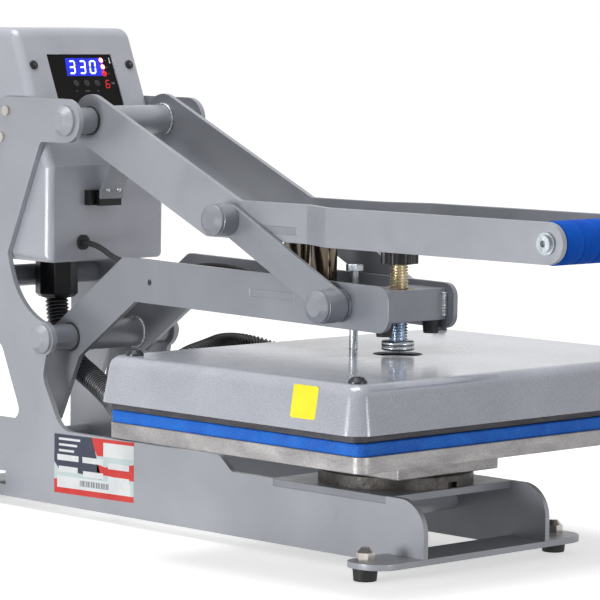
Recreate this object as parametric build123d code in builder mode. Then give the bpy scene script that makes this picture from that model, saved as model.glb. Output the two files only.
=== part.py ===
from build123d import *
from math import atan2, cos, degrees, pi, radians, sin, tan
import os

# Clamshell heat press, 15 by 11 inch, shown closed. Millimetres, +X to the operator's right,
# the operator stands at -Y, +Z is up and the rubber feet stand on Z = 0.
# A place in a side view is (behind the pad's centre, above the floor).

# Pivots of the lever and the arms, in side view
upper_pivot = (334.0, 338.4)
lower_pivot = (363.0, 149.8)
elbow_pivot = (155.5, 263.5)
front_pivot = (32.5, 201.1)
screw_back = 7.0

# Clearances
running_fit = 0.06
face_gap = 0.3
slip_fit = 0.5
hole_gap = 0.75

# Feet and the bars they carry
foot_h = 10.6
foot_top_r = 10.0
foot_bottom_r = 9.0
foot_reach = 109.0
bar_t = 5.0
bar_w = 41.2
bar_end_r = 14.0
bar_front_corner_r = 22.0
front_bar_start = -94.0
rear_bar_start = 441.0
foot_nut = (6.5, 6.5, 4.0)
stud_r = 4.0

# Side plates
plate_t = 4.76
plate_gap = 135.88
plate_front = front_bar_start
plate_bottom = 8.0
plate_rear = 489.0
rear_knee = 205.0
rail_top = 60.3
rail_front_r = 26.0
rear_rail_top = 72.4
rear_rail_start = 137.0
rail_step_l = 15.0
neck_foot = 337.0
neck_waist = (361.5, 116.0)
neck_inset = 9.0
throat_vertex = (394.6, 175.0)
throat_r = 64.0
post_corner = (410.0, 221.0)
post_top_front = 366.5
top_rear = 422.0
upper_ear_r = 18.7
lower_ear_r = 15.0
window_bottom = 77.0
window_front = 388.6
window_rear = 457.5
window_apex = (424.3, 156.0)
window_r = 9.0
rear_slot = (424.7, 23.5)
rear_slot_l = 28.0
rear_slot_h = 13.0

# Shelf and rods between the side plates
shelf_t = 6.0
shelf_front = -56.0
shelf_rear = 77.0
shelf_tab_start = -52.8
shelf_tab_l = 126.5
rod_r = 9.75
rod_places = [(11.0, 39.0), (468.0, 45.0), (460.0, 196.0)]

# Hub, lower platen and pad
hub_r = 62.6
hub_h = 10.4
hub_key_w = 10.0
hub_key_h = 5.0
hub_bolt_r = 45.0
hub_bolt_hole_r = 4.5
hub_edge = 1.0
boss_half = 58.0
boss_h = 26.1
lower_platen_w = 382.0
lower_platen_d = 283.0
lower_platen_t = 12.6
lower_platen_r = 9.0
pad_inset_x = 0.5
pad_inset_y = 1.8
pad_w = lower_platen_w - 2 * pad_inset_x
pad_d = lower_platen_d - 2 * pad_inset_y
pad_t = 9.7
pad_r = 7.0

# Heated platen and its cover
cover_back = 3.0
heat_platen_past_pad = 0.3
heat_platen_w = pad_w
heat_platen_d = pad_d + 2 * heat_platen_past_pad
heat_platen_t = 20.0
heat_platen_r = 10.0
rim_show = 5.8
cover_overhang = 7.0
cover_w = heat_platen_w + 2 * cover_overhang
cover_d = heat_platen_d + 2 * cover_overhang
cover_h = 36.7
cover_wall = 1.6
cover_corner_r = 18.0
cover_edge_r = 10.0
cover_draft = 9.6
cover_hole_r = 20.0
element_r = 4.0
element_w = 290.0
element_d = 190.0
element_bend_r = 45.0
element_inner_w = 110.0
blanket_t = 9.0
blanket_inset = 14.0
cover_screw_inset_x = 22.5
cover_screw_inset_y = 23.2
cover_screw_x = cover_w / 2 - cover_screw_inset_x
cover_screw_back = cover_d / 2 - cover_screw_inset_y
cover_shank_r = 3.0
cover_head_r = 7.2
cover_head_top_r = 4.6
cover_head_rim_h = 1.4
cover_head_h = 4.4
cover_socket_af = 5.0
cover_socket_h = 2.4
swivel_r = 17.0
swivel_flange_r = 30.0
swivel_flange_h = 6.0
swivel_h = 20.0

# Pressure screw, knob and guide bolt
screw_r = 7.94
screw_end_r = 6.0
screw_flange_r = 13.3
screw_flange_h = 7.6
screw_flange_bottom = 165.2
screw_top = 250.0
knob_r = 15.5
knob_lobe_r = 3.4
knob_lobes = 7
knob_bottom = 234.6
knob_h = 20.0
knob_cap_h = 2.5
guide_back = 57.0
guide_r = 3.5
guide_head_bottom = 225.5
guide_head_h = 5.5
guide_head_af = 12.7
guide_head_edge = 0.6

# Lever arms, their hub and the grip
lever_outer_x = 44.0
lever_w = 45.0
lever_bar_h = 31.8
lever_slope = 24.2
lever_elbow_r = 8.0
joggle_out = 18.0
joggle_rear = 68.0
joggle_l = 40.0
joggle_bend_r = 12.0
grip_axis = (-204.0, 265.4)
hub_tube_r = 12.7
grip_tube_r = 10.0
grip_foam_r = 16.8
grip_groove_w = 1.4
grip_groove_d = 1.2
grip_grooves = 5
grip_bolt_r = 4.0
grip_washer_r = 8.6
grip_washer_t = 1.6
grip_head_r = 6.5
grip_head_h = 2.8
grip_hex_r = 2.6
keeper_start = 79.2
keeper_l = 40.0
keeper_top = 260.6
keeper_t = 6.1

# Links between the lever and the platen arms
link_w = 26.5
link_pin_r = 6.35
collar_r = 13.5
collar_l = 15.6
cap_r = 13.0
cap_rim = 2.5
cap_h = 8.0
link_cap_h = 6.2
cap_face_r = 7.5
collar_screw_r = 2.2

# Platen arms
arm_outer_x = 40.0
arm_slope = 36.1
arm_w = 39.2
arm_elbow_r = 9.0
arm_inner_r = 4.0
arm_front = -20.5
arm_front_top = 218.6
arm_front_h = 36.8
arm_rear_top = 222.3
arm_rear_h = 37.1
arm_front_r = 11.0
arm_tail_low = (382.0, 69.8)
arm_tail_rear = (408.0, 82.0)
arm_tail_top = 24.0
arm_tail_r = 10.0
arm_hole = (261.0, 203.9)
arm_hole_r = 2.6
cross_plate_t = 6.3
cross_plate_top = 207.5
cross_plate_start = 86.2
cross_plate_l = 51.8
guide_plate_l = 24.0
front_tube_d = 38.1
front_tube_h = 25.4
front_tube_wall = 3.2
front_tube_top = 214.6
bush_r = 12.0
magnet_r = 11.0
magnet_backs = [92.5, 123.8]
magnet_foot_h = 3.0
magnet_foot_inset = 1.5
bumper_x = 27.0
bumper_back = -10.5
bumper_top_r = 7.5
bumper_bottom_r = 6.0
bumper_h = 11.0

# Pivot shafts of the base
shaft_r = 7.94
spacer_r = 11.3

# Control box
box_front = 361.0
box_rear = 478.0
box_bottom = 215.0
box_top = 416.5
box_bend = 298.0
box_lean = 22.8
box_wall = 1.5
box_edge_r = 8.0
box_crown_r = 13.0
box_floor_r = 2.0
box_bend_r = 4.0
back_cover_t = 1.5
display_drop = 45.0
display_mid = box_top - display_drop
window_w = 74.5
window_h = 48.5
window_corner_r = 1.0
display_w = 84.0
display_h = 60.0
display_t = 3.0
display_r = 2.0
board_t = 1.6
board_w = 78.0
board_h = 54.0
standoff_r = 2.5
standoff_l = 8.0
standoff_inset = 5.0
part_h = 9.0
relay_size = (44.0, 58.0, 24.0)
relay_back = 424.0
relay_x = 38.0
relay_fins = 6
relay_fin_h = 14.4
inlet_x = 30.0
inlet_z = 250.0
inlet_w = 48.0
inlet_h = 28.0
inlet_body_w = 28.0
inlet_body_h = 20.0
inlet_depth = 22.0
inlet_flange_t = 3.0
inlet_socket_d = 17.0
inlet_wall = 2.0
inlet_pin = (2.0, 4.0, 12.0)
inlet_pin_places = [(-7.0, -2.5), (0.0, 2.5), (7.0, -2.5)]
switch_x = -20.0
switch_z = 250.0
switch_w = 31.0
switch_h = 25.0
switch_depth = 20.0
switch_flange_t = 2.0
switch_wall = 2.0
rocker_tilt = 8.0
rocker_gap = 0.5
rocker_sink = 2.0
rocker_face = 4.4
rocker_root = 5.0
rocker_hollow = 1.2
panel_screw_x = 55.0
panel_screw_drop = 32.0
panel_screw_z = box_top - panel_screw_drop
screw_head_r = 3.6
screw_head_h = 1.6
screw_shank_r = 1.8
plate_screws = [(411.6, 345.0), (418.6, 322.1)]
plate_screw_r = 2.5
plate_screw_head_r = 4.4
plate_screw_head_h = 2.6

# Lid switch and its flag
flag_mid_x = -6.3
flag_half_w = 12.7
flag_t = 2.0
flag_bottom = 270.5
flag_back = 349.5
flag_foot_h = 6.5
flag_weld_turn = 45.0
flag_bend = (336.0, 299.7)
flag_magnet_h = 13.5
flag_magnet_t = 3.6
flag_magnet_drop = 7.0
sensor_left = -27.0
sensor_w = 28.0
sensor_h = 13.0
sensor_bottom = 264.0
sensor_gap = 1.0

# Cable of the holding magnets and conduit of the heater
cable_r = 2.5
grommet_x = -29.0
grommet_z = 231.8
grommet_r = 6.6
grommet_t = 2.2
grommet_neck_r = 4.6
conduit_r = 10.5
conduit_valley_r = 8.7
conduit_bore_r = 7.2
rib_pitch = 3.4
gland_x = 0.0
gland_back = 429.5
gland_r = 19.0
gland_h = 37.0
gland_neck_r = 12.0
gland_socket = 8.0
gland_facets = 8
gland_edge = 3.5
fitting_x = 50.0
fitting_z = 141.0
fitting_r = 12.3
fitting_flange_r = 13.5
fitting_flange_t = 3.0
fitting_l = 16.0
fitting_socket = 8.0
fitting_neck_r = 8.5
fitting_neck_l = 3.0

# Heights of the stack, worked out from the floor up
bar_top = foot_h + bar_t
hub_bottom = rail_top
boss_bottom = hub_bottom + hub_h
lower_plate_bottom = boss_bottom + boss_h
lower_top = lower_plate_bottom + lower_platen_t
pad_top = lower_top + pad_t
heat_bottom = pad_top + face_gap
heat_top = heat_bottom + heat_platen_t
cover_bottom = heat_bottom + rim_show
cover_top = cover_bottom + cover_h

# Places across the press
plate_inner_x = plate_gap / 2
plate_outer_x = plate_inner_x + plate_t
lever_inner_x = lever_outer_x - plate_t
arm_inner_x = arm_outer_x - plate_t
link_inner_x = lever_outer_x + face_gap
link_outer_x = link_inner_x + plate_t
collar_outer_x = link_outer_x + collar_l
bar_end_x = foot_reach + bar_end_r
box_half_w = plate_inner_x - slip_fit
grip_half_l = lever_inner_x + joggle_out

# The frame's origin stands under the middle of the whole press
grip_front = grip_axis[0] - grip_foam_r
pad_y = -(grip_front + plate_rear) / 2


def side(x):
    """Side-view plane at x, with places behind the pad's centre and above the floor."""
    return Plane(origin=(x, pad_y, 0), x_dir=(0, 1, 0), z_dir=(1, 0, 0))


def level(z, back=0.0, x=0.0):
    """Plan-view plane at height z, centred on a place behind the pad's centre."""
    return Plane(origin=(x, pad_y + back, z))


def facing_rear(x, back, z):
    """Upright plane that looks to the rear, with X across and Z up."""
    return Plane(origin=(x, pad_y + back, z), x_dir=(-1, 0, 0), z_dir=(0, 1, 0))


def round_bar(place, radius, start, end, mode=Mode.ADD):
    """Round bar along X through a side-view place."""
    with BuildSketch(side(min(start, end))) as circle:
        with Locations(place):
            Circle(radius)
    extrude(circle.sketch, amount=abs(end - start), dir=(1, 0, 0), mode=mode)


def ring_bar(place, radius, bore, start, end):
    """Tube along X through a side-view place."""
    with BuildSketch(side(min(start, end))) as ring:
        with Locations(place):
            Circle(radius)
            Circle(bore, mode=Mode.SUBTRACT)
    extrude(ring.sketch, amount=abs(end - start), dir=(1, 0, 0))


def upright_bar(x, back, radius, bottom, top, mode=Mode.ADD):
    """Round bar along Z."""
    with BuildSketch(level(bottom, back, x)) as circle:
        Circle(radius)
    extrude(circle.sketch, amount=top - bottom, dir=(0, 0, 1), mode=mode)


def block(start, end, mode=Mode.ADD):
    """Box between two corners given as (x, behind the pad's centre, z)."""
    low = [min(a, b) for a, b in zip(start, end)]
    high = [max(a, b) for a, b in zip(start, end)]
    middle = [(a + b) / 2 for a, b in zip(low, high)]
    with BuildSketch(level(low[2], middle[1], middle[0])) as foot:
        Rectangle(high[0] - low[0], high[1] - low[1])
    extrude(foot.sketch, amount=high[2] - low[2], dir=(0, 0, 1), mode=mode)


def closed_face(corners, mode=Mode.ADD):
    """Face inside a closed outline of (place, corner radius) pairs."""
    with BuildLine() as outline:
        FilletPolyline(
            *[place for place, radius in corners],
            radius=[radius for place, radius in corners],
            close=True,
        )
    make_face(outline.edges(), mode=mode)


def pin_cap(side_sign, place, inner_x, height):
    """Domed pin cap that stands outwards from inner_x."""
    with BuildSketch(side(inner_x * side_sign)) as rim:
        with Locations(place):
            Circle(cap_r)
    extrude(rim.sketch, amount=cap_rim, dir=(side_sign, 0, 0))
    with BuildSketch(side((inner_x + cap_rim) * side_sign)) as base:
        with Locations(place):
            Circle(cap_r)
    with BuildSketch(side((inner_x + height) * side_sign)) as face:
        with Locations(place):
            Circle(cap_face_r)
    loft([base.sketch, face.sketch])


# Side plates
def plate_corners():
    """Outline of a side plate, from its front bottom corner round."""
    ear_x, ear_z = upper_pivot
    low_x, low_z = lower_pivot
    return [
        ((plate_front, plate_bottom), 3.0),
        ((plate_front, rail_top), rail_front_r),
        ((rear_rail_start - rail_step_l, rail_top), 8.0),
        ((rear_rail_start, rear_rail_top), 8.0),
        ((neck_foot, rear_rail_top), 24.0),
        (neck_waist, 16.0),
        ((low_x - neck_inset, low_z), 0.0),
        ((low_x, low_z + lower_ear_r), 3.0),
        (throat_vertex, throat_r),
        (post_corner, 6.0),
        ((post_top_front, ear_z - upper_ear_r), 5.0),
        ((ear_x, ear_z - upper_ear_r), 0.0),
        ((ear_x, ear_z + upper_ear_r), 0.0),
        ((top_rear, ear_z + upper_ear_r), 10.0),
        ((plate_rear, rear_knee), 20.0),
        ((plate_rear, plate_bottom), 14.0),
    ]


with BuildPart() as side_plate_right:
    with BuildSketch(side(plate_inner_x)) as plate_sketch:
        closed_face(plate_corners())
        with Locations(upper_pivot):
            Circle(upper_ear_r)
            Circle(shaft_r + running_fit, mode=Mode.SUBTRACT)
        with Locations(lower_pivot):
            Circle(lower_ear_r)
            Circle(shaft_r + running_fit, mode=Mode.SUBTRACT)
        closed_face(
            [
                ((window_front, window_bottom), window_r),
                ((window_rear, window_bottom), window_r),
                (window_apex, window_r),
            ],
            mode=Mode.SUBTRACT,
        )
        with Locations(rear_slot):
            Rectangle(rear_slot_l, rear_slot_h, mode=Mode.SUBTRACT)
        with Locations(*rod_places):
            Circle(rod_r + running_fit, mode=Mode.SUBTRACT)
        with Locations(*plate_screws):
            Circle(plate_screw_r + running_fit, mode=Mode.SUBTRACT)
    extrude(amount=plate_t)
    for bar_start in (front_bar_start, rear_bar_start):
        block(
            (plate_inner_x, bar_start, plate_bottom),
            (plate_outer_x, bar_start + bar_w, bar_top),
            mode=Mode.SUBTRACT,
        )
    block(
        (plate_inner_x, shelf_tab_start, rail_top - shelf_t),
        (plate_outer_x, shelf_tab_start + shelf_tab_l, rail_top),
        mode=Mode.SUBTRACT,
    )

with BuildPart() as side_plate_left:
    mirror(side_plate_right.part, about=Plane.YZ)

# Shelf that carries the hub
with BuildPart() as shelf_plate:
    block((-plate_inner_x, shelf_front, rail_top - shelf_t), (plate_inner_x, shelf_rear, rail_top))
    block(
        (-plate_outer_x, shelf_tab_start, rail_top - shelf_t),
        (plate_outer_x, shelf_tab_start + shelf_tab_l, rail_top),
    )

# Foot bars under the side plates
with BuildPart() as foot_bars:
    for bar_start, front_sign in ((front_bar_start, -1), (rear_bar_start, 1)):
        mid = bar_start + bar_w / 2
        outer_y = front_sign * bar_w / 2
        inner_y = -outer_y
        with BuildSketch(level(foot_h, mid)):
            closed_face(
                [
                    ((-bar_end_x, outer_y), bar_front_corner_r),
                    ((bar_end_x, outer_y), bar_front_corner_r),
                    ((bar_end_x, inner_y), bar_end_r),
                    ((-bar_end_x, inner_y), bar_end_r),
                ]
            )
        extrude(amount=bar_t)
    foot_places = [
        (sign * foot_reach, foot_back)
        for sign in (-1, 1)
        for foot_back in (
            front_bar_start + bar_w - bar_end_r,
            rear_bar_start + bar_end_r,
        )
    ]
    for foot_x, foot_back in foot_places:
        upright_bar(foot_x, foot_back, stud_r + running_fit, foot_h, bar_top, mode=Mode.SUBTRACT)

# Rubber feet, each with a moulded stud hole
with BuildPart() as rubber_feet:
    for foot_x, foot_back in foot_places:
        with BuildSketch(level(0, foot_back, foot_x)) as foot_bottom:
            Circle(foot_bottom_r)
        with BuildSketch(level(foot_h, foot_back, foot_x)) as foot_top:
            Circle(foot_top_r)
        loft([foot_bottom.sketch, foot_top.sketch])
        upright_bar(foot_x, foot_back, stud_r, foot_h / 2, foot_h, mode=Mode.SUBTRACT)


def dome_nut(x, back, bottom, sizes, shank_r, shank_bottom):
    """Dome nut, sized as (half across flats, hexagon height, dome height), with its stud."""
    flat_r, hex_h, dome_h = sizes
    with BuildSketch(level(bottom, back, x)) as hexagon:
        RegularPolygon(flat_r, 6, major_radius=False)
    extrude(hexagon.sketch, amount=hex_h, dir=(0, 0, 1))
    with BuildSketch(level(bottom + hex_h, back, x)) as dome_foot:
        Circle(flat_r)
    with BuildSketch(level(bottom + hex_h + dome_h, back, x)) as dome_top:
        Circle(flat_r / 2)
    loft([dome_foot.sketch, dome_top.sketch])
    upright_bar(x, back, shank_r, shank_bottom, bottom)


# Round rods between the side plates
with BuildPart() as cross_rods:
    for place in rod_places:
        round_bar(place, rod_r, -plate_outer_x, plate_outer_x)

# Hub that the lower platen bolts to
with BuildPart() as platen_hub:
    with BuildSketch(level(hub_bottom, screw_back)):
        Circle(hub_r)
        with PolarLocations(hub_bolt_r, 4, start_angle=45):
            Circle(hub_bolt_hole_r, mode=Mode.SUBTRACT)
    extrude(amount=hub_h)
    top_rings = platen_hub.edges().group_by(Axis.Z)[-1].filter_by(GeomType.CIRCLE)
    chamfer(top_rings.sort_by(SortBy.LENGTH)[-1], hub_edge)
    block(
        (-hub_key_w / 2, screw_back - hub_r, hub_bottom),
        (hub_key_w / 2, screw_back - hub_r + hub_key_h, hub_bottom + hub_key_h),
        mode=Mode.SUBTRACT,
    )

# Cast lower platen with its square boss
with BuildPart() as lower_platen:
    with BuildSketch(level(lower_plate_bottom)):
        RectangleRounded(lower_platen_w, lower_platen_d, lower_platen_r)
    extrude(amount=lower_platen_t)
    block(
        (-boss_half, screw_back - boss_half, boss_bottom),
        (boss_half, screw_back + boss_half, lower_plate_bottom),
    )

with BuildPart() as silicone_pad:
    with BuildSketch(level(lower_top)):
        RectangleRounded(pad_w, pad_d, pad_r)
    extrude(amount=pad_t)

# Heated platen with its cast-in stud holes
with BuildPart() as heat_platen:
    with BuildSketch(level(heat_bottom, cover_back)):
        RectangleRounded(heat_platen_w, heat_platen_d, heat_platen_r)
    extrude(amount=heat_platen_t)
    upright_bar(0, guide_back, guide_r, heat_top - heat_platen_t / 2, heat_top, mode=Mode.SUBTRACT)

cover_screw_places = [
    (sign_x * cover_screw_x, cover_back + sign_y * cover_screw_back)
    for sign_x in (-1, 1)
    for sign_y in (-1, 1)
]


def cover_shape(inset, bottom, height):
    """Drafted lid with round corners and a soft top edge, inset on all sides."""
    with BuildPart() as lid:
        with BuildSketch(level(bottom, cover_back)):
            RectangleRounded(cover_w - 2 * inset, cover_d - 2 * inset, cover_corner_r - inset)
        extrude(amount=height, taper=cover_draft)
        fillet(lid.edges().group_by(Axis.Z)[-1], cover_edge_r - inset)
    return lid.part


# Cover over the heated platen, open below
with BuildPart() as heater_cover:
    add(cover_shape(0, cover_bottom, cover_h))
    add(cover_shape(cover_wall, cover_bottom, cover_h - cover_wall), mode=Mode.SUBTRACT)
    upright_bar(0, screw_back, cover_hole_r, cover_bottom, cover_top, mode=Mode.SUBTRACT)
    upright_bar(0, guide_back, guide_r + hole_gap, cover_bottom, cover_top, mode=Mode.SUBTRACT)
    for screw_x, screw_y in cover_screw_places:
        shank_hole_r = cover_shank_r + running_fit
        upright_bar(screw_x, screw_y, shank_hole_r, cover_bottom, cover_top, mode=Mode.SUBTRACT)
    with BuildSketch(facing_rear(fitting_x, cover_back, fitting_z)) as fitting_hole:
        Circle(fitting_neck_r + running_fit)
    extrude(fitting_hole.sketch, amount=cover_d / 2, dir=(0, 1, 0), mode=Mode.SUBTRACT)

# Low round screws with a hexagon socket that hold the cover
with BuildPart() as cover_screws:
    for screw_x, screw_y in cover_screw_places:
        upright_bar(screw_x, screw_y, cover_shank_r, heat_top, cover_top)
        upright_bar(screw_x, screw_y, cover_head_r, cover_top, cover_top + cover_head_rim_h)
        with BuildSketch(level(cover_top + cover_head_rim_h, screw_y, screw_x)) as head_foot:
            Circle(cover_head_r)
        with BuildSketch(level(cover_top + cover_head_h, screw_y, screw_x)) as head_top:
            Circle(cover_head_top_r)
        loft([head_foot.sketch, head_top.sketch])
        with BuildSketch(level(cover_top + cover_head_h - cover_socket_h, screw_y, screw_x)) as socket:
            RegularPolygon(cover_socket_af / 2, 6, major_radius=False)
        extrude(socket.sketch, amount=cover_socket_h, dir=(0, 0, 1), mode=Mode.SUBTRACT)

# Tubular heating element on the platen, bent round a rectangle
with BuildPart() as heating_element:
    element_z = heat_top + element_r
    left_x = -element_w / 2
    with BuildLine(level(element_z, cover_back)) as element_path:
        FilletPolyline(
            (-element_inner_w / 2, element_d / 2),
            (left_x, element_d / 2),
            (left_x, -element_d / 2),
            (-left_x, -element_d / 2),
            (-left_x, element_d / 2),
            (element_inner_w / 2, element_d / 2),
            radius=element_bend_r,
        )
    with BuildSketch(element_path.line ^ 0):
        Circle(element_r)
    sweep()

# Insulation between the element and the cover
with BuildPart() as insulation_blanket:
    blanket_bottom = heat_top + 2 * element_r
    with BuildSketch(level(blanket_bottom, cover_back)):
        RectangleRounded(
            cover_w - 2 * blanket_inset,
            cover_d - 2 * blanket_inset,
            cover_corner_r,
        )
        with Locations((0, screw_back - cover_back)):
            Circle(swivel_flange_r, mode=Mode.SUBTRACT)
        with Locations((0, guide_back - cover_back)):
            Circle(guide_r + hole_gap, mode=Mode.SUBTRACT)
        with Locations(*[(x, back - cover_back) for x, back in cover_screw_places]):
            Circle(cover_shank_r + hole_gap, mode=Mode.SUBTRACT)
    extrude(amount=blanket_t)

# Swivel that the screw's end turns in
with BuildPart() as swivel_hub:
    upright_bar(0, screw_back, swivel_flange_r - hole_gap, heat_top, heat_top + swivel_flange_h)
    upright_bar(0, screw_back, swivel_r, heat_top, heat_top + swivel_h)
    upright_bar(0, screw_back, screw_end_r + running_fit, heat_top, heat_top + swivel_h, mode=Mode.SUBTRACT)

# Guide bolt that keeps the heated platen square
with BuildPart() as guide_bolt:
    upright_bar(0, guide_back, guide_r, heat_top - heat_platen_t / 2, guide_head_bottom)
    with BuildSketch(level(guide_head_bottom, guide_back)):
        RegularPolygon(guide_head_af / 2, 6, major_radius=False)
    extrude(amount=guide_head_h)
    chamfer(guide_bolt.edges().group_by(Axis.Z)[-1], guide_head_edge)

# Pressure screw with its flange and the turned end below it
with BuildPart() as pressure_screw:
    upright_bar(0, screw_back, screw_r, screw_flange_bottom, screw_top)
    upright_bar(0, screw_back, screw_flange_r, screw_flange_bottom, screw_flange_bottom + screw_flange_h)
    upright_bar(0, screw_back, screw_end_r, heat_top + face_gap, screw_flange_bottom)

# Lobed knob on the screw
with BuildPart() as pressure_knob:
    with BuildSketch(level(knob_bottom, screw_back)):
        Circle(knob_r - knob_lobe_r / 2)
        with PolarLocations(knob_r - knob_lobe_r, knob_lobes):
            Circle(knob_lobe_r)
    extrude(amount=knob_h)
    knob_top = knob_bottom + knob_h
    upright_bar(0, screw_back, knob_r - knob_lobe_r, knob_top, knob_top + knob_cap_h)
    upright_bar(0, screw_back, screw_r, knob_bottom, screw_top, mode=Mode.SUBTRACT)


# Lever arms
def lever_outline():
    """Sloping arm from the upper pivot, elbow, level bar and round grip end."""
    slope = radians(lever_slope)
    along = Vector(cos(slope), sin(slope))
    normal = Vector(-sin(slope), cos(slope))
    pivot = Vector(*upper_pivot)
    grip = Vector(*grip_axis)
    half_bar = lever_bar_h / 2
    bar_z = elbow_pivot[1]

    def edge_meets_bar(sign):
        edge = pivot + normal * (sign * lever_w / 2)
        bar_edge_z = bar_z + sign * half_bar
        reach = (edge.Y - bar_edge_z) / along.Y
        return (edge.X - reach * along.X, bar_edge_z)

    top_at_pivot = pivot + normal * (lever_w / 2)
    low_at_pivot = pivot - normal * (lever_w / 2)
    closed_face(
        [
            ((top_at_pivot.X, top_at_pivot.Y), 0.0),
            (edge_meets_bar(1), lever_elbow_r),
            ((grip.X, grip.Y + half_bar), 0.0),
            ((grip.X, grip.Y - half_bar), 0.0),
            (edge_meets_bar(-1), lever_elbow_r),
            ((low_at_pivot.X, low_at_pivot.Y), 0.0),
        ]
    )


with BuildPart() as lever_arm_right:
    with BuildSketch(side(lever_inner_x)):
        lever_outline()
        with Locations(upper_pivot):
            Circle(lever_w / 2)
            Circle(shaft_r + running_fit, mode=Mode.SUBTRACT)
        with Locations(grip_axis):
            Circle(lever_bar_h / 2)
            Circle(grip_bolt_r + running_fit, mode=Mode.SUBTRACT)
        with Locations(elbow_pivot):
            Circle(link_pin_r + running_fit, mode=Mode.SUBTRACT)
        with Locations((keeper_start + keeper_l / 2, keeper_top - keeper_t / 2)):
            Rectangle(keeper_l, keeper_t, mode=Mode.SUBTRACT)
    extrude(amount=joggle_out + plate_t)
    with BuildSketch(level(0)):
        joggle_front = joggle_rear - joggle_l
        closed_face(
            [
                ((lever_inner_x, plate_rear), 0.0),
                ((lever_inner_x, joggle_rear), joggle_bend_r),
                ((lever_inner_x + joggle_out, joggle_front), joggle_bend_r),
                ((lever_inner_x + joggle_out, 2 * grip_front), 0.0),
                ((lever_outer_x + joggle_out, 2 * grip_front), 0.0),
                ((lever_outer_x + joggle_out, joggle_front), joggle_bend_r),
                ((lever_outer_x, joggle_rear), joggle_bend_r),
                ((lever_outer_x, plate_rear), 0.0),
            ]
        )
    extrude(amount=box_top, mode=Mode.INTERSECT)

with BuildPart() as lever_arm_left:
    mirror(lever_arm_right.part, about=Plane.YZ)

with BuildPart() as lever_hub_tube:
    ring_bar(upper_pivot, hub_tube_r, shaft_r + running_fit, -lever_inner_x, lever_inner_x)

# Keeper plate between the lever arms, with a tab in each
with BuildPart() as keeper_plate:
    block(
        (-lever_outer_x, keeper_start, keeper_top - keeper_t),
        (lever_outer_x, keeper_start + keeper_l, keeper_top),
    )

with BuildPart() as grip_tube:
    ring_bar(grip_axis, grip_tube_r, grip_bolt_r, -grip_half_l, grip_half_l)

# Foam grip with its ring grooves
with BuildPart() as grip_foam:
    foam_half_l = grip_half_l - slip_fit
    ring_bar(grip_axis, grip_foam_r, grip_tube_r, -foam_half_l, foam_half_l)
    groove_pitch = 2 * foam_half_l / (grip_grooves + 1)
    for index in range(grip_grooves):
        groove_x = -foam_half_l + groove_pitch * (index + 1)
        with BuildSketch(side(groove_x - grip_groove_w / 2)) as groove:
            with Locations(grip_axis):
                Circle(grip_foam_r)
                Circle(grip_foam_r - grip_groove_d, mode=Mode.SUBTRACT)
        extrude(groove.sketch, amount=grip_groove_w, dir=(1, 0, 0), mode=Mode.SUBTRACT)

# Button screws with washers at the grip's ends
with BuildPart() as grip_screws:
    bar_face_x = lever_outer_x + joggle_out
    for sign in (-1, 1):
        washer_x = bar_face_x + grip_washer_t
        head_x = washer_x + grip_head_h
        round_bar(grip_axis, grip_bolt_r, sign * (bar_face_x - 3 * plate_t), sign * washer_x)
        round_bar(grip_axis, grip_washer_r, sign * bar_face_x, sign * washer_x)
        round_bar(grip_axis, grip_head_r, sign * washer_x, sign * head_x)
        round_bar(grip_axis, grip_hex_r, sign * washer_x, sign * head_x, mode=Mode.SUBTRACT)

# Curved flag under the hub tube that works the lid switch
flag_left = flag_mid_x - flag_half_w
flag_right = flag_mid_x + flag_half_w
flag_reach = (hub_tube_r - flag_t / 2) * cos(radians(flag_weld_turn))
flag_top = (upper_pivot[0] - flag_reach, upper_pivot[1] - flag_reach)
with BuildPart() as switch_flag:
    with BuildSketch(side(flag_left)):
        with BuildLine() as flag_line:
            ThreePointArc(flag_top, flag_bend, (flag_back, flag_bottom + flag_foot_h))
            Line((flag_back, flag_bottom + flag_foot_h), (flag_back, flag_bottom))
            offset(amount=flag_t / 2, side=Side.BOTH)
        make_face()
    extrude(amount=2 * flag_half_w)
    round_bar(upper_pivot, hub_tube_r, flag_left, flag_right, mode=Mode.SUBTRACT)

magnet_front = flag_back + flag_t / 2
with BuildPart() as flag_magnet:
    block(
        (flag_left, magnet_front, flag_bottom - flag_magnet_drop),
        (flag_right, magnet_front + flag_magnet_t, flag_bottom - flag_magnet_drop + flag_magnet_h),
    )


# Links outside the arms
def link_outline():
    """Straight link with round ends at its two pivots."""
    start = Vector(*elbow_pivot)
    end = Vector(*front_pivot)
    middle = (start + end) / 2
    run = end - start
    with Locations((middle.X, middle.Y)):
        SlotCenterToCenter(run.length, link_w, rotation=degrees(atan2(run.Y, run.X)))


with BuildPart() as link_right:
    with BuildSketch(side(link_inner_x)):
        link_outline()
        with Locations(elbow_pivot, front_pivot):
            Circle(link_pin_r + running_fit, mode=Mode.SUBTRACT)
    extrude(amount=plate_t)

with BuildPart() as link_left:
    mirror(link_right.part, about=Plane.YZ)

# Collars outside the links: rings at the elbow, pinned studs at the front
with BuildPart() as link_collars:
    for sign in (-1, 1):
        ring_bar(
            elbow_pivot,
            collar_r,
            link_pin_r + running_fit,
            sign * link_outer_x,
            sign * collar_outer_x,
        )
        round_bar(front_pivot, collar_r, sign * link_outer_x, sign * collar_outer_x)
        round_bar(front_pivot, link_pin_r, sign * link_inner_x, sign * link_outer_x)

with BuildPart() as elbow_pin:
    round_bar(elbow_pivot, link_pin_r, -collar_outer_x, collar_outer_x)

with BuildPart() as link_caps:
    for sign in (-1, 1):
        for place in (elbow_pivot, front_pivot):
            pin_cap(sign, place, collar_outer_x, link_cap_h)


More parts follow.
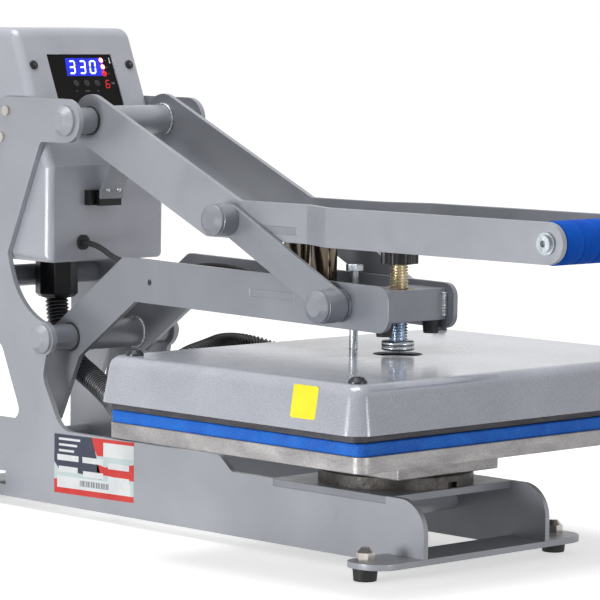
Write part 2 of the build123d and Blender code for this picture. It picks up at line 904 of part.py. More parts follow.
# Platen arms
def arm_outline():
    """Arm with a long level reach, a slope down to the lower pivot and a tail below it."""
    slope = radians(arm_slope)
    along = Vector(-cos(slope), sin(slope))
    normal = Vector(sin(slope), cos(slope))
    pivot = Vector(*lower_pivot)
    rear_back = elbow_pivot[0] + 2 * link_w

    def reach_edge(sign, back):
        top = arm_front_top + (arm_rear_top - arm_front_top) * (back - arm_front) / (rear_back - arm_front)
        height = arm_front_h + (arm_rear_h - arm_front_h) * (back - arm_front) / (rear_back - arm_front)
        return top if sign > 0 else top - height

    def tail_meets_reach(sign):
        edge = pivot + normal * (sign * arm_w / 2)
        low_z = reach_edge(sign, arm_front)
        rise = (reach_edge(sign, rear_back) - low_z) / (rear_back - arm_front)
        run = (low_z + rise * (edge.X - arm_front) - edge.Y) / (along.Y - rise * along.X)
        return (edge.X + run * along.X, edge.Y + run * along.Y)

    top_rear_end = pivot + normal * (arm_w / 2) - along * arm_tail_top
    low_at_pivot = pivot - normal * (arm_w / 2)
    closed_face(
        [
            ((top_rear_end.X, top_rear_end.Y), arm_tail_r),
            (tail_meets_reach(1), arm_elbow_r),
            ((arm_front, reach_edge(1, arm_front)), arm_front_r),
            ((arm_front, reach_edge(-1, arm_front)), arm_front_r),
            (tail_meets_reach(-1), arm_inner_r),
            ((low_at_pivot.X, low_at_pivot.Y), 0.0),
            (arm_tail_low, arm_tail_r),
            (arm_tail_rear, arm_tail_r),
        ]
    )


with BuildPart() as platen_arm_right:
    with BuildSketch(side(arm_inner_x)):
        arm_outline()
        with Locations(lower_pivot):
            Circle(shaft_r + running_fit, mode=Mode.SUBTRACT)
        with Locations(front_pivot):
            Circle(link_pin_r, mode=Mode.SUBTRACT)
        with Locations(arm_hole):
            Circle(arm_hole_r, mode=Mode.SUBTRACT)
        with Locations((cross_plate_start + cross_plate_l / 2, cross_plate_top - cross_plate_t / 2)):
            Rectangle(cross_plate_l, cross_plate_t, mode=Mode.SUBTRACT)
    extrude(amount=plate_t)

with BuildPart() as platen_arm_left:
    mirror(platen_arm_right.part, about=Plane.YZ)

with BuildPart() as arm_hub_tube:
    ring_bar(lower_pivot, hub_tube_r, shaft_r + running_fit, -arm_inner_x, arm_inner_x)

# Cross plates: one carries the holding magnets, one guides the bolt
with BuildPart() as arm_cross_plates:
    block(
        (-arm_outer_x, cross_plate_start, cross_plate_top - cross_plate_t),
        (arm_outer_x, cross_plate_start + cross_plate_l, cross_plate_top),
    )
    block(
        (-arm_inner_x, guide_back - guide_plate_l / 2, cross_plate_top - cross_plate_t),
        (arm_inner_x, guide_back + guide_plate_l / 2, cross_plate_top),
    )
    upright_bar(
        0,
        guide_back,
        guide_r + slip_fit,
        cross_plate_top - cross_plate_t,
        cross_plate_top,
        mode=Mode.SUBTRACT,
    )

# Front tube that holds the screw's bush
with BuildPart() as arm_front_tube:
    tube_mid_z = front_tube_top - front_tube_h / 2
    with BuildSketch(side(-arm_inner_x)):
        with Locations((screw_back, tube_mid_z)):
            Rectangle(front_tube_d, front_tube_h)
            Rectangle(
                front_tube_d - 2 * front_tube_wall,
                front_tube_h - 2 * front_tube_wall,
                mode=Mode.SUBTRACT,
            )
    extrude(amount=2 * arm_inner_x)
    upright_bar(
        0,
        screw_back,
        bush_r,
        front_tube_top - front_tube_h,
        front_tube_top,
        mode=Mode.SUBTRACT,
    )

with BuildPart() as threaded_bush:
    upright_bar(0, screw_back, bush_r, front_tube_top - front_tube_h, front_tube_top)
    upright_bar(
        0,
        screw_back,
        screw_r + running_fit,
        front_tube_top - front_tube_h,
        front_tube_top,
        mode=Mode.SUBTRACT,
    )

# Holding magnets that reach up to the keeper plate
magnet_top = keeper_top - keeper_t - face_gap
with BuildPart() as hold_magnets:
    for magnet_back in magnet_backs:
        magnet_foot_top = cross_plate_top + magnet_foot_h
        upright_bar(0, magnet_back, magnet_r - magnet_foot_inset, cross_plate_top, magnet_foot_top)
        upright_bar(0, magnet_back, magnet_r, magnet_foot_top, magnet_top)

# Rubber bumpers under the front tube
with BuildPart() as arm_bumpers:
    bumper_z = front_tube_top - front_tube_h
    bumper_mid = screw_back + bumper_back
    for sign in (-1, 1):
        with BuildSketch(level(bumper_z, bumper_mid, sign * bumper_x)) as bumper_top:
            Circle(bumper_top_r)
        with BuildSketch(level(bumper_z - bumper_h, bumper_mid, sign * bumper_x)) as bumper_foot:
            Circle(bumper_bottom_r)
        loft([bumper_top.sketch, bumper_foot.sketch])

with BuildPart() as front_pin:
    round_bar(front_pivot, link_pin_r, -arm_outer_x, arm_outer_x)
    for sign in (-1, 1):
        round_bar(front_pivot, collar_r, sign * arm_outer_x, sign * lever_outer_x)

# Pivot shafts, their outer caps and the spacers beside the arms
with BuildPart() as pivot_shafts:
    for place in (upper_pivot, lower_pivot):
        round_bar(place, shaft_r, -plate_outer_x, plate_outer_x)

with BuildPart() as pivot_caps:
    for sign in (-1, 1):
        for place in (upper_pivot, lower_pivot):
            pin_cap(sign, place, plate_outer_x, cap_h)

with BuildPart() as pivot_spacers:
    for sign in (-1, 1):
        for place, arm_x in ((upper_pivot, lever_outer_x), (lower_pivot, arm_outer_x)):
            ring_bar(
                place,
                spacer_r,
                shaft_r,
                sign * (arm_x + face_gap),
                sign * plate_inner_x,
            )


# Control box
lean = radians(box_lean)
panel_top_back = box_front + (box_top - box_bend) * tan(lean)


def box_shape(inset):
    """Body of the control box, inset on all sides but the rear."""
    step = inset * tan((pi / 2 - lean) / 2)
    with BuildPart() as body:
        with BuildSketch(side(-box_half_w + inset)):
            closed_face(
                [
                    ((box_front + inset, box_bottom + inset), box_floor_r),
                    ((box_front + inset, box_bend - inset * tan(lean / 2)), box_bend_r),
                    ((panel_top_back + step, box_top - inset), box_crown_r - inset),
                    ((box_rear, box_top - inset), 0.0),
                    ((box_rear, box_bottom + inset), 0.0),
                ]
            )
        extrude(amount=2 * (box_half_w - inset))
        rear_edges = body.edges().group_by(Axis.Y)[-1]
        side_edges = (
            body.faces().sort_by(Axis.X)[0].edges()
            + body.faces().sort_by(Axis.X)[-1].edges()
        )
        bottom_edges = body.edges().group_by(Axis.Z)[0]
        kept = [edge for edge in side_edges if edge not in rear_edges and edge not in bottom_edges]
        fillet(kept, box_edge_r - inset)
    return body.part


def panel_plane(x, height, sink=0.0):
    """Plane on the leaning front panel at a height, sunk below its face."""
    back = box_front + (height - box_bend) * tan(lean)
    normal = Vector(0, -cos(lean), sin(lean))
    place = Vector(x, pad_y + back, height) - normal * sink
    return Plane(origin=place, x_dir=(1, 0, 0), z_dir=normal)


with BuildPart() as control_box:
    add(box_shape(0))
    add(box_shape(box_wall), mode=Mode.SUBTRACT)
    with BuildSketch(panel_plane(0, display_mid)) as display_opening:
        RectangleRounded(window_w, window_h, window_corner_r)
    extrude(display_opening.sketch, amount=-2 * box_wall, mode=Mode.SUBTRACT)
    for sign in (-1, 1):
        with BuildSketch(panel_plane(sign * panel_screw_x, panel_screw_z)) as screw_hole:
            Circle(screw_shank_r + running_fit)
        extrude(screw_hole.sketch, amount=-2 * box_wall, mode=Mode.SUBTRACT)
        for place in plate_screws:
            round_bar(
                place,
                plate_screw_r + running_fit,
                sign * (box_half_w - 2 * box_wall),
                sign * plate_inner_x,
                mode=Mode.SUBTRACT,
            )
    with BuildSketch(facing_rear(grommet_x, box_front, grommet_z)) as grommet_hole:
        Circle(grommet_neck_r)
    extrude(grommet_hole.sketch, amount=box_wall, dir=(0, 1, 0), mode=Mode.SUBTRACT)
    upright_bar(gland_x, gland_back, gland_neck_r, box_bottom, box_bottom + box_wall, mode=Mode.SUBTRACT)

# Back cover with openings for the inlet and the switch
with BuildPart() as back_cover:
    with BuildSketch(facing_rear(0, box_rear, (box_bottom + box_top) / 2)):
        Rectangle(2 * box_half_w, box_top - box_bottom)
    extrude(amount=back_cover_t)
    rear_top_edges = back_cover.edges().filter_by(Axis.Y).group_by(Axis.Z)[-1]
    fillet(rear_top_edges, box_edge_r)
    block(
        (inlet_x - inlet_body_w / 2, box_rear, inlet_z - inlet_body_h / 2),
        (inlet_x + inlet_body_w / 2, box_rear + back_cover_t, inlet_z + inlet_body_h / 2),
        mode=Mode.SUBTRACT,
    )
    block(
        (switch_x - switch_w / 2 + switch_wall, box_rear, switch_z - switch_h / 2 + switch_wall),
        (
            switch_x + switch_w / 2 - switch_wall,
            box_rear + back_cover_t,
            switch_z + switch_h / 2 - switch_wall,
        ),
        mode=Mode.SUBTRACT,
    )

# Display panel behind its window in the box
with BuildPart() as display_panel:
    with BuildSketch(panel_plane(0, display_mid, box_wall + display_t)):
        RectangleRounded(display_w, display_h, display_r)
    extrude(amount=display_t)

# Controller board on standoffs behind the display
with BuildPart() as control_board:
    standoff_sink = box_wall + display_t
    with BuildSketch(panel_plane(0, display_mid, standoff_sink)):
        with GridLocations(board_w - 2 * standoff_inset, board_h - 2 * standoff_inset, 2, 2):
            Circle(standoff_r)
    extrude(amount=-standoff_l)
    with BuildSketch(panel_plane(0, display_mid, standoff_sink + standoff_l)):
        Rectangle(board_w, board_h)
    extrude(amount=-board_t)
    with BuildSketch(panel_plane(0, display_mid, standoff_sink + standoff_l + board_t)):
        with Locations((-board_w / 4, 0), (board_w / 5, board_h / 8)):
            Rectangle(board_w / 4, board_h / 2)
    extrude(amount=-part_h)

# Solid-state relay that switches the heater, on the box's floor
with BuildPart() as heater_relay:
    relay_w, relay_d, relay_h = relay_size
    relay_z = box_bottom + box_wall
    block(
        (relay_x - relay_w / 2, relay_back - relay_d / 2, relay_z),
        (relay_x + relay_w / 2, relay_back + relay_d / 2, relay_z + relay_h),
    )
    fin_w = relay_w / (2 * relay_fins - 1)
    for index in range(relay_fins):
        fin_x = relay_x - relay_w / 2 + 2 * fin_w * index
        block(
            (fin_x, relay_back - relay_d / 2, relay_z + relay_h),
            (fin_x + fin_w, relay_back + relay_d / 2, relay_z + relay_h + relay_fin_h),
        )

# Mains inlet in the back cover
with BuildPart() as power_inlet:
    inlet_rear = box_rear + back_cover_t
    block(
        (inlet_x - inlet_w / 2, inlet_rear, inlet_z - inlet_h / 2),
        (inlet_x + inlet_w / 2, inlet_rear + inlet_flange_t, inlet_z + inlet_h / 2),
    )
    block(
        (inlet_x - inlet_body_w / 2, inlet_rear, inlet_z - inlet_body_h / 2),
        (inlet_x + inlet_body_w / 2, inlet_rear - inlet_depth, inlet_z + inlet_body_h / 2),
    )
    block(
        (
            inlet_x - inlet_body_w / 2 + inlet_wall,
            inlet_rear + inlet_flange_t,
            inlet_z - inlet_body_h / 2 + inlet_wall,
        ),
        (
            inlet_x + inlet_body_w / 2 - inlet_wall,
            inlet_rear + inlet_flange_t - inlet_socket_d,
            inlet_z + inlet_body_h / 2 - inlet_wall,
        ),
        mode=Mode.SUBTRACT,
    )
    pin_w, pin_h, pin_l = inlet_pin
    pin_root = inlet_rear + inlet_flange_t - inlet_socket_d
    for pin_dx, pin_dz in inlet_pin_places:
        block(
            (inlet_x + pin_dx - pin_w / 2, pin_root, inlet_z + pin_dz - pin_h / 2),
            (inlet_x + pin_dx + pin_w / 2, pin_root + pin_l, inlet_z + pin_dz + pin_h / 2),
        )

# Housing of the rocker switch, open to the rear
with BuildPart() as switch_housing:
    housing_half_w = switch_w / 2 - switch_wall
    housing_half_h = switch_h / 2 - switch_wall
    housing_root = inlet_rear - switch_depth
    block(
        (switch_x - switch_w / 2, inlet_rear, switch_z - switch_h / 2),
        (switch_x + switch_w / 2, inlet_rear + switch_flange_t, switch_z + switch_h / 2),
    )
    block(
        (switch_x - housing_half_w, housing_root, switch_z - housing_half_h),
        (switch_x + housing_half_w, inlet_rear, switch_z + housing_half_h),
    )
    block(
        (
            switch_x - housing_half_w + switch_wall,
            housing_root + switch_wall,
            switch_z - housing_half_h + switch_wall,
        ),
        (
            switch_x + housing_half_w - switch_wall,
            inlet_rear + switch_flange_t,
            switch_z + housing_half_h - switch_wall,
        ),
        mode=Mode.SUBTRACT,
    )

# Rocker of the switch, tipped to its rest position
rocker_axis = (inlet_rear - rocker_sink, switch_z)
with BuildPart() as switch_rocker:
    rocker_half_w = switch_w / 2 - 2 * switch_wall - rocker_gap
    rocker_half_h = switch_h / 2 - 2 * switch_wall - 2 * rocker_gap
    tilt = radians(rocker_tilt)
    rocker_plane = Plane(
        origin=(switch_x - rocker_half_w, pad_y + rocker_axis[0], rocker_axis[1]),
        x_dir=(0, cos(tilt), sin(tilt)),
        z_dir=(1, 0, 0),
    )
    with BuildSketch(rocker_plane):
        with BuildLine():
            Polyline(
                (rocker_face, rocker_half_h),
                (-rocker_root, rocker_half_h - rocker_gap - rocker_root / 4),
                (-rocker_root, -rocker_half_h + rocker_gap + rocker_root / 4),
                (rocker_face, -rocker_half_h),
            )
            ThreePointArc(
                (rocker_face, -rocker_half_h),
                (rocker_face - rocker_hollow, 0),
                (rocker_face, rocker_half_h),
            )
        make_face()
    extrude(amount=2 * rocker_half_w)

# Dome nuts of the feet, two screws in the leaning panel and two through each side plate
with BuildPart() as base_fasteners:
    for foot_x, foot_back in foot_places:
        dome_nut(foot_x, foot_back, bar_top, foot_nut, stud_r, foot_h / 2)
    for sign in (-1, 1):
        with BuildSketch(panel_plane(sign * panel_screw_x, panel_screw_z)) as head:
            Circle(screw_head_r)
        extrude(head.sketch, amount=screw_head_h)
        with BuildSketch(panel_plane(sign * panel_screw_x, panel_screw_z)) as shank:
            Circle(screw_shank_r)
        extrude(shank.sketch, amount=-3 * box_wall)
        for place in plate_screws:
            round_bar(
                place,
                plate_screw_r,
                sign * (box_half_w - 2 * box_wall),
                sign * plate_outer_x,
            )
            round_bar(
                place,
                plate_screw_head_r,
                sign * plate_outer_x,
                sign * (plate_outer_x + plate_screw_head_h),
            )

# Lid switch on the front of the box
with BuildPart() as lid_switch:
    sensor_front = magnet_front + flag_magnet_t + sensor_gap
    block(
        (sensor_left, sensor_front, sensor_bottom),
        (sensor_left + sensor_w, box_front, sensor_bottom + sensor_h),
    )

with BuildPart() as cable_grommet:
    with BuildSketch(facing_rear(grommet_x, box_front - grommet_t, grommet_z)):
        Circle(grommet_r)
        Circle(cable_r, mode=Mode.SUBTRACT)
    extrude(amount=grommet_t)
    with BuildSketch(facing_rear(grommet_x, box_front, grommet_z)):
        Circle(grommet_neck_r)
        Circle(cable_r, mode=Mode.SUBTRACT)
    extrude(amount=box_wall)

# Gland under the box, faceted, with a socket for the conduit
gland_bottom = box_bottom - gland_h
with BuildPart() as conduit_gland:
    with BuildSketch(level(gland_bottom, gland_back, gland_x)):
        RegularPolygon(gland_r, gland_facets)
    extrude(amount=gland_h)
    chamfer(conduit_gland.edges().group_by(Axis.Z)[0], gland_edge)
    upright_bar(gland_x, gland_back, gland_neck_r, box_bottom, box_bottom + 3 * box_wall)
    upright_bar(
        gland_x,
        gland_back,
        conduit_bore_r,
        gland_bottom,
        box_bottom + 3 * box_wall,
        mode=Mode.SUBTRACT,
    )
    upright_bar(
        gland_x,
        gland_back,
        conduit_r + face_gap,
        gland_bottom,
        gland_bottom + gland_socket,
        mode=Mode.SUBTRACT,
    )

# Fitting on the rear of the heater's cover
flange_low_z = fitting_z - fitting_flange_r
cover_rear = cover_back + cover_d / 2 - (flange_low_z - cover_bottom) * tan(radians(cover_draft))
fitting_end = cover_rear + fitting_l
with BuildPart() as conduit_fitting:
    with BuildSketch(facing_rear(fitting_x, cover_rear + face_gap, fitting_z)):
        Circle(fitting_r)
    extrude(amount=fitting_l - face_gap)
    with BuildSketch(facing_rear(fitting_x, cover_rear + face_gap, fitting_z)):
        RegularPolygon(fitting_flange_r, 6, major_radius=False)
    extrude(amount=fitting_flange_t)
    with BuildSketch(facing_rear(fitting_x, cover_rear - fitting_neck_l, fitting_z)):
        Circle(fitting_neck_r)
    extrude(amount=fitting_neck_l + face_gap)
    with BuildSketch(facing_rear(fitting_x, cover_rear - fitting_neck_l, fitting_z)):
        Circle(conduit_bore_r)
    extrude(amount=fitting_l + fitting_neck_l, mode=Mode.SUBTRACT)
    with BuildSketch(facing_rear(fitting_x, fitting_end - fitting_socket, fitting_z)):
        Circle(conduit_r + face_gap)
    extrude(amount=fitting_socket, mode=Mode.SUBTRACT)


# Free conduit and cable
def corner_radii(route):
    """Largest tangent arc at each inner corner of a route."""
    radii = []
    for before, corner, after in zip(route, route[1:], route[2:]):
        incoming = Vector(*corner) - Vector(*before)
        outgoing = Vector(*after) - Vector(*corner)
        turn = radians(incoming.get_angle(outgoing))
        radii.append(0.45 * min(incoming.length, outgoing.length) / tan(turn / 2))
    return radii


conduit_route = [
    (gland_x, gland_back, gland_bottom + gland_socket),
    (gland_x, gland_back, 133.0),
    (-16.0, 338.0, 101.0),
    (-42.0, 287.0, 85.0),
    (-69.0, 261.0, 83.0),
    (-87.0, 233.0, 96.0),
    (-85.0, 208.0, 122.0),
    (-59.0, 197.0, 145.0),
    (-24.0, 203.0, 150.0),
    (4.0, 214.0, 153.0),
    (33.0, 210.0, 149.0),
    (fitting_x, 190.0, fitting_z),
    (fitting_x, fitting_end - fitting_socket, fitting_z),
]

cable_route = [
    (grommet_x, box_front + box_wall, grommet_z),
    (grommet_x, 343.0, grommet_z),
    (-27.0, 320.0, 219.0),
    (-20.0, 288.0, 213.0),
    (-15.0, 252.0, 214.0),
    (-14.0, 216.0, 221.0),
    (-13.0, 182.0, 220.0),
    (0.0, 158.0, 213.5),
    (0.0, magnet_backs[-1] + magnet_r, 213.5),
]


def placed(route):
    """Route moved from the pad's centre to the part's frame."""
    return [(x, pad_y + back, z) for x, back, z in route]


def ring_planes(path, steps):
    """Planes square to a path, turned as little as possible from one to the next."""
    planes = []
    x_axis = Vector(0, 1, 0)
    for index in range(steps + 1):
        place = path.position_at(index / steps)
        tangent = path.tangent_at(index / steps)
        x_axis = (x_axis - tangent * x_axis.dot(tangent)).normalized()
        planes.append(Plane(origin=place, x_dir=x_axis, z_dir=tangent))
    return planes


conduit_radii = corner_radii(conduit_route)
with BuildLine() as conduit_line:
    FilletPolyline(*placed(conduit_route), radius=conduit_radii)
conduit_path = conduit_line.wires()[0]
rib_count = round(conduit_path.length / rib_pitch)

with BuildPart() as conduit:
    steps_per_rib = 4
    for index, plane in enumerate(ring_planes(conduit_path, rib_count * steps_per_rib)):
        on_crest = index % steps_per_rib in (2, 3)
        with BuildSketch(plane):
            Circle(conduit_r if on_crest else conduit_valley_r)
    loft(ruled=True)
    with BuildSketch(conduit_path ^ 0):
        Circle(conduit_bore_r)
    sweep(path=conduit_path, mode=Mode.SUBTRACT)

cable_radii = corner_radii(cable_route)
with BuildLine() as cable_line:
    FilletPolyline(*placed(cable_route), radius=cable_radii)
cable_path = cable_line.wires()[0]
with BuildPart() as magnet_cable:
    with BuildSketch(cable_path ^ 0):
        Circle(cable_r)
    sweep(path=cable_path)


def print_cord(name, path, radii, solid, section):
    """Radii and length of a cord, and its volume beside section times length."""
    print(name, "radii", [round(radius) for radius in radii], "length", round(path.length))
    print(name, "volume", round(solid.volume), "section times length", round(section * path.length))


flank_square = (conduit_r**2 + conduit_r * conduit_valley_r + conduit_valley_r**2) / 3
mean_square = (conduit_r**2 + conduit_valley_r**2 + 2 * flank_square) / 4
conduit_section = pi * (mean_square - conduit_bore_r**2)
print_cord("conduit", conduit_path, conduit_radii, conduit.part, conduit_section)
print_cord("cable", cable_path, cable_radii, magnet_cable.part, pi * cable_r**2)
print("ribs", rib_count)

pieces = {
    "side_plate_left": side_plate_left,
    "side_plate_right": side_plate_right,
    "shelf_plate": shelf_plate,
    "foot_bars": foot_bars,
    "rubber_feet": rubber_feet,
    "cross_rods": cross_rods,
    "platen_hub": platen_hub,
    "lower_platen": lower_platen,
    "silicone_pad": silicone_pad,
    "control_box": control_box,
    "back_cover": back_cover,
    "display_panel": display_panel,
    "control_board": control_board,
    "heater_relay": heater_relay,
    "power_inlet": power_inlet,
    "switch_housing": switch_housing,
    "switch_rocker": switch_rocker,
    "base_fasteners": base_fasteners,
    "lid_switch": lid_switch,
    "cable_grommet": cable_grommet,
    "conduit_gland": conduit_gland,
    "conduit": conduit,
    "magnet_cable": magnet_cable,
    "pivot_shafts": pivot_shafts,
    "pivot_caps": pivot_caps,
    "pivot_spacers": pivot_spacers,
    "lever_arm_left": lever_arm_left,
    "lever_arm_right": lever_arm_right,
    "lever_hub_tube": lever_hub_tube,
    "keeper_plate": keeper_plate,
    "grip_tube": grip_tube,
    "grip_foam": grip_foam,
    "grip_screws": grip_screws,
    "switch_flag": switch_flag,
    "flag_magnet": flag_magnet,
    "link_left": link_left,
    "link_right": link_right,
    "link_collars": link_collars,
    "elbow_pin": elbow_pin,
    "link_caps": link_caps,
    "platen_arm_left": platen_arm_left,
    "platen_arm_right": platen_arm_right,
    "arm_hub_tube": arm_hub_tube,
    "arm_cross_plates": arm_cross_plates,
    "arm_front_tube": arm_front_tube,
    "threaded_bush": threaded_bush,
    "hold_magnets": hold_magnets,
    "arm_bumpers": arm_bumpers,
    "front_pin": front_pin,
    "heater_cover": heater_cover,
    "heat_platen": heat_platen,
    "heating_element": heating_element,
    "insulation_blanket": insulation_blanket,
    "swivel_hub": swivel_hub,
    "cover_screws": cover_screws,
    "guide_bolt": guide_bolt,
    "conduit_fitting": conduit_fitting,
    "pressure_screw": pressure_screw,
    "pressure_knob": pressure_knob,
}

os.makedirs("parts", exist_ok=True)
for name, piece in pieces.items():
    piece.part.label = name
    export_step(piece.part, f"parts/{name}.step")
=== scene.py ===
"""Looks of a clamshell heat press: camera, cords, materials, small details, floor and light."""
import math

import bpy
from mathutils import Matrix, Vector


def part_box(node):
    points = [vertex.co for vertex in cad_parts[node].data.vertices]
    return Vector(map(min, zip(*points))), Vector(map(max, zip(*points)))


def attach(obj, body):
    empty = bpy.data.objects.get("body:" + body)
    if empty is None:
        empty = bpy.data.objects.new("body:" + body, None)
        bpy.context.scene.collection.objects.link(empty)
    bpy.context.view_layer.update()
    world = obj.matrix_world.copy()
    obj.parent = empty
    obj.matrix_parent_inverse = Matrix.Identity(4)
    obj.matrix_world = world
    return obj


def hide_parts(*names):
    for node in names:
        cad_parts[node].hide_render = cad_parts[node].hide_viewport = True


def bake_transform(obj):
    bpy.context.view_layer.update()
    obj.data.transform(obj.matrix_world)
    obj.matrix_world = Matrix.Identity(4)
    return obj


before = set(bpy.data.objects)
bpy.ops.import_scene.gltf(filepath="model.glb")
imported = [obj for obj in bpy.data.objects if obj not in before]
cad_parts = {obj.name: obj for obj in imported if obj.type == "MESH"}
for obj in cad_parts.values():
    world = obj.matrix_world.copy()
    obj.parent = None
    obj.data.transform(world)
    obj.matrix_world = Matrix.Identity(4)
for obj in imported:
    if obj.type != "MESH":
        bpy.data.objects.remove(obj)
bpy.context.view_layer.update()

# Places are given in millimetres: across, behind the middle of the pad, and above the floor
mm = 0.001
pad_low, pad_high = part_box("silicone_pad")
pad_y = (pad_low.y + pad_high.y) / 2
frontward = Vector((0, -1, 0))
rearward = Vector((0, 1, 0))
upward = Vector((0, 0, 1))


def place(x, back, z):
    return Vector((x * mm, pad_y + back * mm, z * mm))


def box_of(node):
    """A node's lowest and highest corners, in the millimetres that place takes."""
    middle = Vector((0, pad_y, 0))
    low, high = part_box(node)
    return (low - middle) / mm, (high - middle) / mm


# Camera at the photograph's angle
camera_yaw = math.radians(44.423)
camera_pitch = math.radians(5.011)
camera_roll = math.radians(0.748)
camera_reach = 2693.1
image_px = 600
focal_px = 3359.5
aim_px = (402.80, 431.39)
aim_height = 100.0
sensor_mm = 36.0
view_range = 100.0


def add_camera():
    forward = Vector((
        math.sin(camera_yaw) * math.cos(camera_pitch),
        math.cos(camera_yaw) * math.cos(camera_pitch),
        -math.sin(camera_pitch),
    ))
    level = Vector((forward.y, -forward.x, 0.0)).normalized()
    upright = level.cross(forward)
    right = level * math.cos(camera_roll) + upright * math.sin(camera_roll)
    up = upright * math.cos(camera_roll) - level * math.sin(camera_roll)
    reach = camera_reach * mm
    spot = place(0, 0, aim_height) - forward * reach
    spot -= right * ((aim_px[0] - image_px / 2) / focal_px * reach)
    spot += up * ((aim_px[1] - image_px / 2) / focal_px * reach)
    data = bpy.data.cameras.new("camera")
    data.sensor_fit = "HORIZONTAL"
    data.sensor_width = sensor_mm
    data.lens = focal_px / image_px * sensor_mm
    data.clip_end = view_range
    camera = bpy.data.objects.new("camera", data)
    turn = Matrix((right, up, -forward)).transposed().to_4x4()
    camera.matrix_world = Matrix.Translation(spot) @ turn
    bpy.context.scene.collection.objects.link(camera)
    bpy.context.scene.camera = camera


add_camera()


# The curve that turns a screen colour into a linear one
screen_white = 255
curve_knee = 0.04045
curve_slope = 12.92
curve_lift = 0.055
curve_power = 2.4

# Layers of noise in each finish: the part of its range that is used, and how fine each layer is
noise_start = 0.3
noise_end = 0.7
patch_detail = 4.0
patch_swirl = 0.6
gloss_detail = 5.0
gloss_finer = 4
relief_detail = 2.0
fleck_start = 0.35
fleck_end = 0.65
fleck_dark = (0.25, 0.25, 0.25, 1)
fleck_light = (0.75, 0.75, 0.75, 1)


def shade(red, green, blue):
    """A screen colour, as a shader takes it."""
    def linear(value):
        value = value / screen_white
        if value <= curve_knee:
            return value / curve_slope
        return ((value + curve_lift) / (1 + curve_lift)) ** curve_power
    return (linear(red), linear(green), linear(blue), 1.0)


def noise_node(tree, coords, scale, detail, swirl=0.0):
    noise = tree.nodes.new("ShaderNodeTexNoise")
    noise.inputs["Scale"].default_value = scale
    noise.inputs["Detail"].default_value = detail
    noise.inputs["Distortion"].default_value = swirl
    tree.links.new(coords, noise.inputs["Vector"])
    return noise.outputs["Fac"]


def ramp_node(tree, value, low, high, start=noise_start, end=noise_end):
    ramp = tree.nodes.new("ShaderNodeValToRGB")
    ramp.color_ramp.elements[0].position = start
    ramp.color_ramp.elements[0].color = low
    ramp.color_ramp.elements[1].position = end
    ramp.color_ramp.elements[1].color = high
    tree.links.new(value, ramp.inputs["Fac"])
    return ramp.outputs["Color"]


def range_node(tree, value, low, high, start=noise_start, end=noise_end):
    spread = tree.nodes.new("ShaderNodeMapRange")
    spread.inputs["From Min"].default_value = start
    spread.inputs["From Max"].default_value = end
    spread.inputs["To Min"].default_value = low
    spread.inputs["To Max"].default_value = high
    tree.links.new(value, spread.inputs["Value"])
    return spread.outputs["Result"]


def colour_socket(sockets, name):
    """The socket of that name that carries a colour."""
    return next(socket for socket in sockets if socket.name == name and socket.type == "RGBA")


def overlay(tree, under, over, amount):
    mix = tree.nodes.new("ShaderNodeMix")
    mix.data_type = "RGBA"
    mix.blend_type = "OVERLAY"
    mix.inputs["Factor"].default_value = amount
    tree.links.new(under, colour_socket(mix.inputs, "A"))
    tree.links.new(over, colour_socket(mix.inputs, "B"))
    return colour_socket(mix.outputs, "Result")


def add_bump(tree, shader, value, depth, under=None):
    bump = tree.nodes.new("ShaderNodeBump")
    bump.inputs["Distance"].default_value = depth * mm
    tree.links.new(value, bump.inputs["Height"])
    if under is not None:
        tree.links.new(under, bump.inputs["Normal"])
    tree.links.new(bump.outputs["Normal"], shader.inputs["Normal"])
    return bump.outputs["Normal"]


def surface(name, dark, light, rough, metal=0.0, patch=12.0, stretch=(1, 1, 1), grain=900.0,
            grain_depth=0.03, wave=0.0, wave_depth=0.0, fleck=0.0, fleck_grain=1500.0, sheen=0.0,
            specular=0.5):
    """A finish with soft patches of colour, grain in the colour, changing gloss and a fine relief."""
    material = bpy.data.materials.new(name)
    material.use_nodes = True
    tree = material.node_tree
    shader = tree.nodes["Principled BSDF"]
    shader.inputs["Metallic"].default_value = metal
    shader.inputs["Sheen Weight"].default_value = sheen
    shader.inputs["Specular IOR Level"].default_value = specular
    coords = tree.nodes.new("ShaderNodeTexCoord").outputs["Object"]
    mapping = tree.nodes.new("ShaderNodeMapping")
    mapping.inputs["Scale"].default_value = stretch
    tree.links.new(coords, mapping.inputs["Vector"])
    stretched = mapping.outputs["Vector"]
    patches = noise_node(tree, stretched, patch, patch_detail, patch_swirl)
    colour = ramp_node(tree, patches, shade(*dark), shade(*light))
    if fleck:
        flecks = noise_node(tree, coords, fleck_grain, relief_detail)
        grey = ramp_node(tree, flecks, fleck_dark, fleck_light, fleck_start, fleck_end)
        colour = overlay(tree, colour, grey, fleck)
    tree.links.new(colour, shader.inputs["Base Color"])
    gloss = noise_node(tree, stretched, patch * gloss_finer, gloss_detail)
    tree.links.new(range_node(tree, gloss, *rough), shader.inputs["Roughness"])
    normal = add_bump(tree, shader, noise_node(tree, stretched, grain, relief_detail), grain_depth)
    if wave:
        add_bump(tree, shader, noise_node(tree, coords, wave, relief_detail), wave_depth, normal)
    return material


def paint(name, dark, light, rough=(0.3, 0.4)):
    """Paint on steel plate, with the soft wave of a sprayed coat."""
    return surface(name, dark, light, rough, metal=0.25, fleck=0.10, wave=170.0, wave_depth=0.05)


def printed(name, dark, light, rough=(0.35, 0.5), patch=40.0):
    """A printed field of a label or of the display."""
    return surface(name, dark, light, rough, patch=patch)


def glow(name, dark, light, strength):
    """A lit part of the display: its colour shifts a little over the surface."""
    material = surface(name, dark, light, rough=(0.3, 0.4), patch=60.0)
    shader = material.node_tree.nodes["Principled BSDF"]
    colour = shader.inputs["Base Color"].links[0].from_socket
    material.node_tree.links.new(colour, shader.inputs["Emission Color"])
    shader.inputs["Emission Strength"].default_value = strength
    return material


